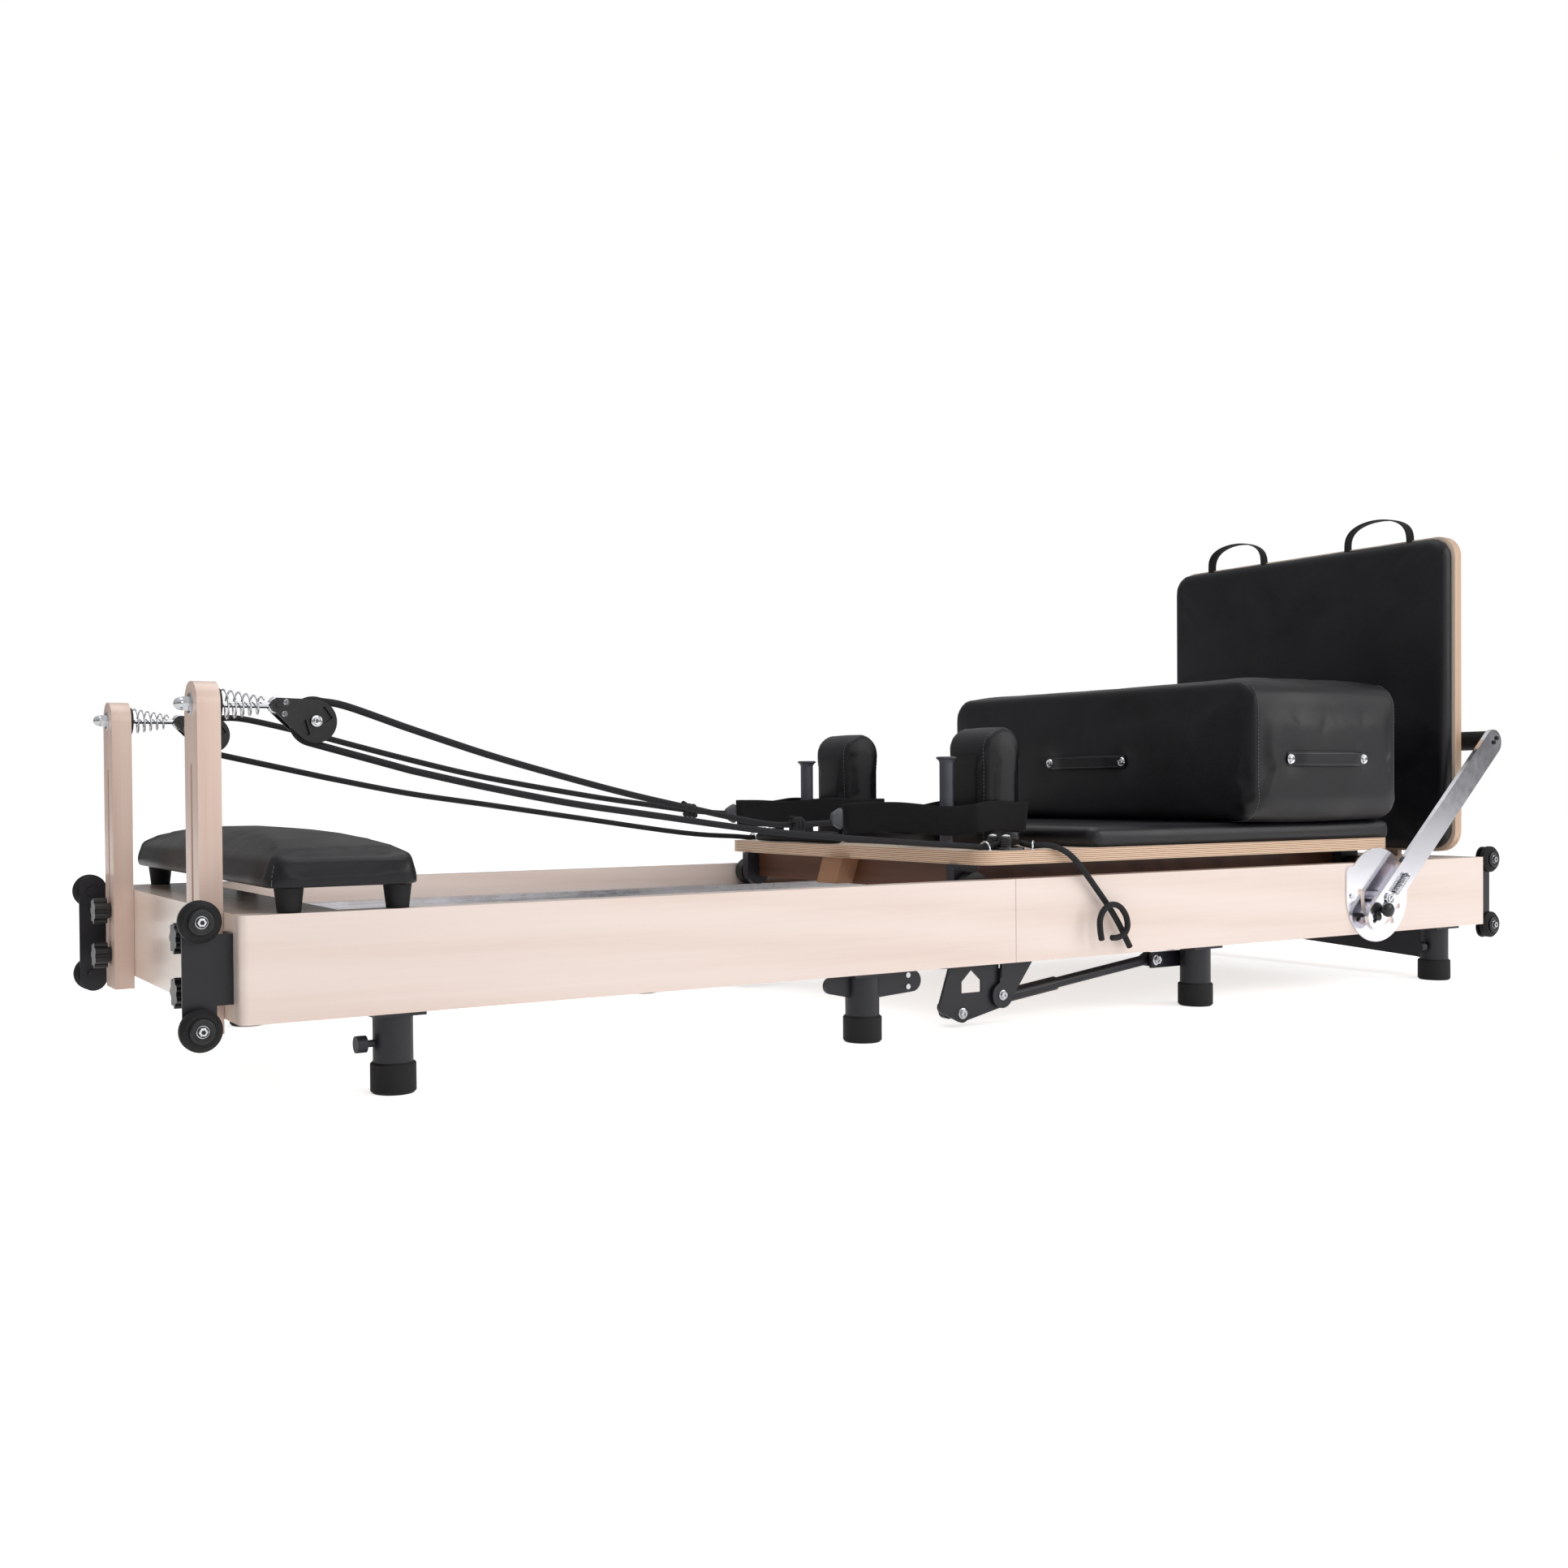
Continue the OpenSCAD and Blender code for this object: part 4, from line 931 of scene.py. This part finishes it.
def make_foot_loop(side, apex, z_mid, lift):
    """A webbing loop on edge, a little higher where it slackens, with its gathering clip."""
    word = SIDE_NAME[side]
    y_in, y_out = (REST_Y[1], REST_Y[0]) if side == FAR else (-REST_Y[0], -REST_Y[1])
    path = []
    for p in loop_path(apex, y_in, y_out):
        reach = min(1, max(0, (p.x - apex[0]) / 0.28))
        wave_height = lift * math.sin(math.pi * reach) * math.sin(5.2 * p.x / 0.15 + side)
        path.append(Vector((p.x, p.y, z_mid + wave_height)))

    def lean(t):
        return 0.05 * math.sin(TAU * t * 2), 0.12 * math.sin(TAU * t * 3 + 1), 1

    strap = Shape().band(path, lean, 0.048, 0.0028, closed=True)
    strap = strap.make("foot_loop_" + word, MAT["webbing"], "carriage", slot="webbing")
    finer(strap)
    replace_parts(strap, "foot_loops")
    x, y = apex[0] - 0.004, apex[1]
    section = ((1, 0.8), (0.7, 1), (-0.7, 1), (-1, 0.8), (-1, -0.8), (-0.7, -1), (0.7, -1), (1, -0.8))
    stations = ((0, 0.004, 0.017), (0.0072, 0.0055, 0.018), (0.018, 0.0055, 0.0105), (0.024, 0.0035, 0.008))
    rows = [[Vector((x - t, y + w * a, z_mid + h * b)) for a, b in section] for t, w, h in stations]
    clip = Shape().grid(rows, wrap=True, caps=True).make("loop_clip_" + word, MAT["clip"], "carriage")
    finer(clip, 2)


def make_pull_loops():
    """Two webbing handles that stand up from the jump board's top edge."""
    top, half, rise, tail = JUMP_Z + JUMP_H, 0.070, 0.052, Vector((0, 0, -0.028))
    for side in (NEAR, FAR):
        word = SIDE_NAME[side]
        path = []
        for a in (math.pi * k / 32 for k in range(33)):
            x, y = JUMP_X - 0.0035 - 0.004 * math.sin(a), side * (0.173 - half * math.cos(a))
            path.append(Vector((x, y, top - 0.004 + rise * math.sin(a) ** 0.62)))
        path = [path[0] + tail] + path + [path[-1] + tail]
        strap = Shape().band(path, lambda t: (1, 0.10 * math.sin(TAU * t), 0.0), 0.024, 0.0026)
        strap = strap.make("pull_loop_" + word, MAT["webbing"], "jump_board", slot="webbing")
        finer(strap)
        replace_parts(strap, "pull_loops")


def make_hand_grip():
    """A padded sleeve with its strap, lying along the board's front edge."""
    a, b = Vector((-0.043, 0.040, BOARD_TOP + 0.0115)), Vector((-0.0548, 0.262, BOARD_TOP + 0.0115))
    way = (b - a).normalized()
    side, up = axes(way)
    rows, vs = [], []
    for t, s in ((0, 0.15), (0, 0.55), (0.004, 0.86), (0.02, 1), (0.25, 1.03), (0.5, 0.99), (0.75, 1.03),
                 (0.98, 1), (0.996, 0.86), (1, 0.55), (1, 0.15)):
        skew = way * (0.006 if t > 0.5 else -0.006)
        rows.append([a.lerp(b, t) + (skew * y + side * 0.0128 * x + up * 0.0103 * y) * s
                     for x, y in circle(24)])
        vs.append(t * (b - a).length)
    grip = Shape().grid(rows, wrap=True, caps=True, vs=vs).make("hand_grip_sleeve", MAT["sleeve"])
    dent(grip, even([a + up * 0.0105, b + up * 0.0105], 0.004), 0.0008, 0.002)
    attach(grip, "carriage")
    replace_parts(grip, "hand_grip")
    spots = [a.lerp(b, t) + up * 0.0103 for t in (0.02, 0.98)]
    sewn("hand_grip_stitches", grip, [spots], "carriage", 0.006, 0.004, 0.0004)


# ---- metal and moulded fittings ----


def bolt(shape, at, out, r, tall, hexagon=True):
    """A bolt head with a washer and a hexagon socket."""
    washer = [(r * 1.35, 0), (r * 1.35, tall * 0.18), (r * 1.28, tall * 0.24), (r * 0.9, tall * 0.24)]
    shape.lathe(at, out, washer, 32)
    head = [(r, tall * 0.2), (r, tall * 0.85), (r * 0.9, tall), (r * 0.55, tall)]
    shape.lathe(at, out, head + [(r * 0.5, tall * 0.96), (r * 0.48, tall * 0.5)], 6 if hexagon else 28)


def plated(shape, name, body, angle=35):
    """Makes a shape a chrome piece with crisp edges."""
    return sharpen(shape.make(name, MAT["chrome"], body, slot="bright_steel"), angle)


def make_post_fittings(side):
    """The post's eyebolt with its cone spring, rubber washer and dome nut."""
    word, y, z = SIDE_NAME[side], side * POST_Y, 0.475
    body = "post_" + word
    x_out, x_in = -1.203, -1.175
    steel = Shape()
    washer = [(0.0135, 0), (0.0135, 0.0016), (0.0125, 0.002), (0.0105, 0.002)]
    dome = [(0.0078, 0), (0.0076, 0.003), (0.0066, 0.0062), (0.0045, 0.0085), (0.002, 0.0094)]
    steel.lathe((x_out, y, z), (-1, 0, 0), washer, 32)
    steel.lathe((x_out - 0.002, y, z), (-1, 0, 0), [(0.0095, 0), (0.0095, 0.007), (0.0088, 0.008)], 6)
    steel.lathe((x_out - 0.010, y, z), (-1, 0, 0), dome, 28)
    steel.lathe((x_in, y, z), (1, 0, 0), [(0.0038, -0.002), (0.0038, 0.066), (0.003, 0.0665)], 20)
    eye = [Vector((-1.100 + 0.0085 * cx, y, z + 0.0085 * cz)) for cx, cz in circle(32)]
    steel.tube(eye, 0.0028, 12, closed=True)
    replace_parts(plated(steel, "eyebolt_" + word, body), "post_fittings_" + word)
    rubber = [(0.019, 0), (0.0205, 0.001), (0.0208, 0.0035), (0.0195, 0.0055), (0.014, 0.006), (0.006, 0.0058)]
    disc = Shape().lathe((x_in, y, z), (1, 0, 0), rubber, 40)
    disc.make("rubber_washer_" + word, MAT["rubber"], body, slot="rubber")
    coil, turns, count = [], 5.4, 151
    for t in (k / (turns * 28) for k in range(count + 1)):
        a, r = TAU * turns * t, 0.0182 - 0.0085 * t
        coil.append(Vector((x_in + 0.008 + 0.050 * t, y + r * math.cos(a), z + r * math.sin(a))))
    Shape().tube(coil, 0.0012, 10).make("cone_spring_" + word, MAT["chrome"], body, slot="bright_steel")


def make_pulley_trim(side):
    """Screws through the pulley's neck and wheel."""
    word, y = SIDE_NAME[side], side * POST_Y
    trim = Shape()
    for s in (-1, 1):
        bolt(trim, (SHEAVE_AT[0], y + s * 0.0140, SHEAVE_AT[1]), (0, s, 0), 0.0052, 0.0040, False)
        for x, z in ((-1.0905, 0.4785), (-1.0925, 0.4640)):
            bolt(trim, (x, y + s * 0.0107, z), (0, s, 0), 0.0028, 0.0026, False)
    plated(trim, "pulley_screws_" + word, "pulley_" + word)


def make_wheel_hubs(word, x, z):
    """Tyre groove rings and hub bolts of a pair of end wheels."""
    hubs, rims = Shape(), Shape()
    for s in (NEAR, FAR):
        bolt(hubs, (x, s * 0.3545, z), (0, s, 0), 0.0055, 0.0045)
        cap = [(0.0150, 0), (0.0148, 0.0012), (0.0120, 0.0016), (0.0095, 0.0008)]
        rims.lathe((x, s * 0.3538, z), (0, s, 0), cap, 40)
    plated(hubs, "hub_bolts_" + word, "wheels_" + word)
    rims.make("hub_caps_" + word, MAT["plastic"], "wheels_" + word, slot="wheel_plastic")


def make_cleats():
    """Rope cleats: a base, two posts with chrome caps, a grooved drum, and the wire bows."""
    for side in (NEAR, FAR):
        word = SIDE_NAME[side]
        x, y = 0.008, side * 0.326
        ring = rounded(x - 0.0215, x + 0.0275, y - 0.0245, y + 0.0245, 0.012, 6)
        steps = ((0, 0), (0, 0.0028), (0.0005, 0.0036), (0.0015, 0.004), (0.008, 0.0042))
        rows = [[Vector((p.x, p.y, BOARD_TOP + h)) for p in inset(ring, d)] for d, h in steps]
        base, drum, caps = Shape().grid(rows, wrap=True, caps=True), Shape(), Shape()
        ridged = [(0.0093, 0.003)]
        for h in (0.0026 * k for k in range(6)):
            ridged += [(0.0094, 0.0045 + h), (0.0086, 0.0058 + h)]
        ridged += [(0.0090, 0.0200), (0.0078, 0.0212)]
        cap = [(0.0072, 0), (0.0074, 0.0012), (0.0068, 0.0024),
               (0.0048, 0.0030), (0.0040, 0.0022), (0.0036, 0.0010)]
        for s in (-1, 1):
            base.lathe((x - 0.008, y + s * 0.015, BOARD_TOP), (0, 0, 1), ridged, 32)
            caps.lathe((x - 0.008, y + s * 0.015, BOARD_TOP + 0.0208), (0, 0, 1), cap, 32)
        for z0, z1 in ((0.004, 0.0055), (0.0162, 0.0268)):
            rim = [(0.0125, z0), (0.0136, z0 + 0.0006), (0.0139, (z0 + z1) / 2),
                   (0.0132, z1 - 0.001), (0.011, z1), (0.007, z1 - 0.0006)]
            drum.lathe((x + 0.014, y, BOARD_TOP), (0, 0, 1), rim, 40)
        base = base.make("cleat_body_" + word, MAT["plastic"], "carriage", slot="wheel_plastic")
        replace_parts(sharpen(base, 50), "cleats")
        sharpen(drum.make("cleat_drum_" + word, MAT["plastic"], "carriage", slot="wheel_plastic"), 50)
        plated(caps, "cleat_caps_" + word, "carriage", 50)
        bows = Shape()
        places = [(-0.031, side * 0.3274, 86)] + ([(0.050, -0.3465, 43)] if side == NEAR else [])
        for bx, by, turn in places:
            turn = math.radians(turn)
            way = Vector((math.cos(turn), math.sin(turn), 0))
            foot, half, tall = Vector((bx, by, BOARD_TOP + 0.0005)), 0.013, 0.0128
            arc = [foot + way * half * p.x + Vector((0, 0, tall * p.y)) for p in arc_of(0, 0, 1, 0, 180, 24)]
            bows.tube(arc, 0.0017, 12)
            for end in (arc[0], arc[-1]):
                flange = [(0.0034, 0), (0.0034, 0.0010), (0.0026, 0.0016)]
                bows.lathe((end.x, end.y, BOARD_TOP), (0, 0, 1), flange, 20)
        bows.make("rope_bows_" + word, MAT["chrome"], "carriage", slot="bright_steel")


def make_springs():
    """The five carriage springs, wound from wire, with a short straight lead at each end."""
    x0, x1, z, r, wire, turns = 0.4415, 1.0465, 0.192, 0.0094, 0.0015, 74
    for n, y in enumerate((-0.160, -0.080, 0.0, 0.080, 0.160)):
        line = [Vector((x0, y, z)), Vector((x0 + 0.010, y, z))]
        count = turns * 12
        for k in range(count + 1):
            t, a = k / count, TAU * k / 12
            along = x0 + 0.016 + (x1 - x0 - 0.032) * t
            line.append(Vector((along, y + r * math.cos(a), z + r * math.sin(a))))
        line += [Vector((x1 - 0.010, y, z)), Vector((x1, y, z))]
        spring = Shape().tube(line, wire, 6).make("spring_%d" % (n + 1), MAT["chrome"], slot="bright_steel")
        if n == 0:
            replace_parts(spring, "springs")
        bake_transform(spring)


def make_strut_bolts():
    """Bolt heads on the hinge pins and on both ends of the folding struts."""
    hinge, upper = Shape(), Shape()
    for s in (NEAR, FAR):
        bolt(hinge, (0, s * 0.3325, 0.047), (0, s, 0), 0.0058, 0.0045, False)
        bolt(hinge, (0.358, s * 0.3086, 0.077), (0, s, 0), 0.0070, 0.0050)
        bolt(upper, (-0.075, s * 0.3265, 0.0237), (0, s, 0), 0.0062, 0.0045)
    plated(hinge, "pivot_bolts", "right_frame")
    plated(upper, "strut_bolts", "left_frame")


def make_latch_trim():
    """Each foot bar arm's latch knob, pull rod and return spring."""
    pivot, angle = Vector((0.858, 0, 0.163)), math.radians(42.4)
    along = Vector((math.cos(angle), 0, math.sin(angle)))
    up = Vector((-along.z, 0, along.x))
    for side in (NEAR, FAR):
        word, out = SIDE_NAME[side], Vector((0, side, 0))
        face = pivot + out * 0.3862
        rods, axis = Shape(), face + out * 0.004
        rods.tube([(axis - along * 0.030).lerp(axis + along * 0.062, k / 6) for k in range(7)], 0.0020, 12)
        coil, count = [], 11 * 14
        for k in range(count + 1):
            t, a = k / count, TAU * k / 14
            ring = (up * math.cos(a) + out * math.sin(a)) * 0.0045
            coil.append(face + along * (0.016 + 0.040 * t) + out * 0.0055 + ring)
        rods.tube(coil, 0.0009, 8)
        stop = [(0.0030, 0), (0.0058, 0.0004), (0.0058, 0.0026), (0.0030, 0.003)]
        for t in (0.014, 0.058):
            rods.lathe(axis + along * t, along, stop, 24)
        bolt(rods, face, out, 0.0085, 0.0045, False)
        plated(rods, "latch_rod_" + word, "foot_bar")
        grip = [(0.0065, 0), (0.0068, 0.004), (0.0115, 0.0065), (0.0128, 0.0105),
                (0.0118, 0.0150), (0.0080, 0.0176), (0.003, 0.0184)]
        knob = Shape().lathe(face - along * 0.028 + out * 0.001, out, grip, 32)
        knob.make("latch_knob_" + word, MAT["plastic"], "foot_bar", slot="grey_plastic")


# ---- CAD nodes ----


def dress_cad():
    """Gives every CAD node that stays visible its finish."""
    finishes = {
        "maple_x": "rails_right rails_left",
        "maple_y": "end_boards_right end_boards_left",
        "maple_z": "post_near post_far",
        "board": "carriage_board",
        "upright": "jump_board",
        "walnut": "carriage_subframe",
        "alu": "tracks_right tracks_left",
        "mirror": "lock_plates footbar_arms",
        "steel": "spring_bar",
        "chrome": "screws_right screws_left",
        "powder": "legs_right legs_left hinge_plates_right hinge_plates_left wheel_brackets_right"
                  " wheel_brackets_left wheel_carriers strut_cylinders strut_rods",
        "rubber": "feet_right feet_left wheels_left_upper wheels_left_lower wheels_right_upper"
                  " wheels_right_lower stool_legs",
        "plastic": "pulley_block_near pulley_block_far sheave_near sheave_far knob_near_upper knob_near_lower"
                   " knob_far_upper knob_far_lower carriage_wheels_front carriage_wheels_rear footbar_latches",
        "peg": "peg_handles",
        "sleeve": "footbar_roller",
    }
    for key, nodes in finishes.items():
        for node in nodes.split():
            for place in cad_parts[node].material_slots:
                place.material = MAT[key]


make_camera()
make_studio()
MAT = make_materials()
make_floor()
for side in (NEAR, FAR):
    make_ropes(side)
make_tail()
for side in (NEAR, FAR):
    make_rest(side)
make_box()
make_carriage_pad()
make_jump_pad()
make_stool_pad()
make_foot_loop(NEAR, (-0.150, -0.130), 0.319, 0.005)
make_foot_loop(FAR, (-0.150, 0.190), 0.324, 0.003)
make_pull_loops()
make_hand_grip()
for side in (NEAR, FAR):
    make_post_fittings(side)
    make_pulley_trim(side)
for word, x, z in (("left_upper", -1.216, 0.221), ("left_lower", -1.216, 0.096),
                   ("right_upper", 1.216, 0.221), ("right_lower", 1.216, 0.096)):
    make_wheel_hubs(word, x, z)
make_cleats()
make_springs()
make_strut_bolts()
make_latch_trim()
dress_cad()
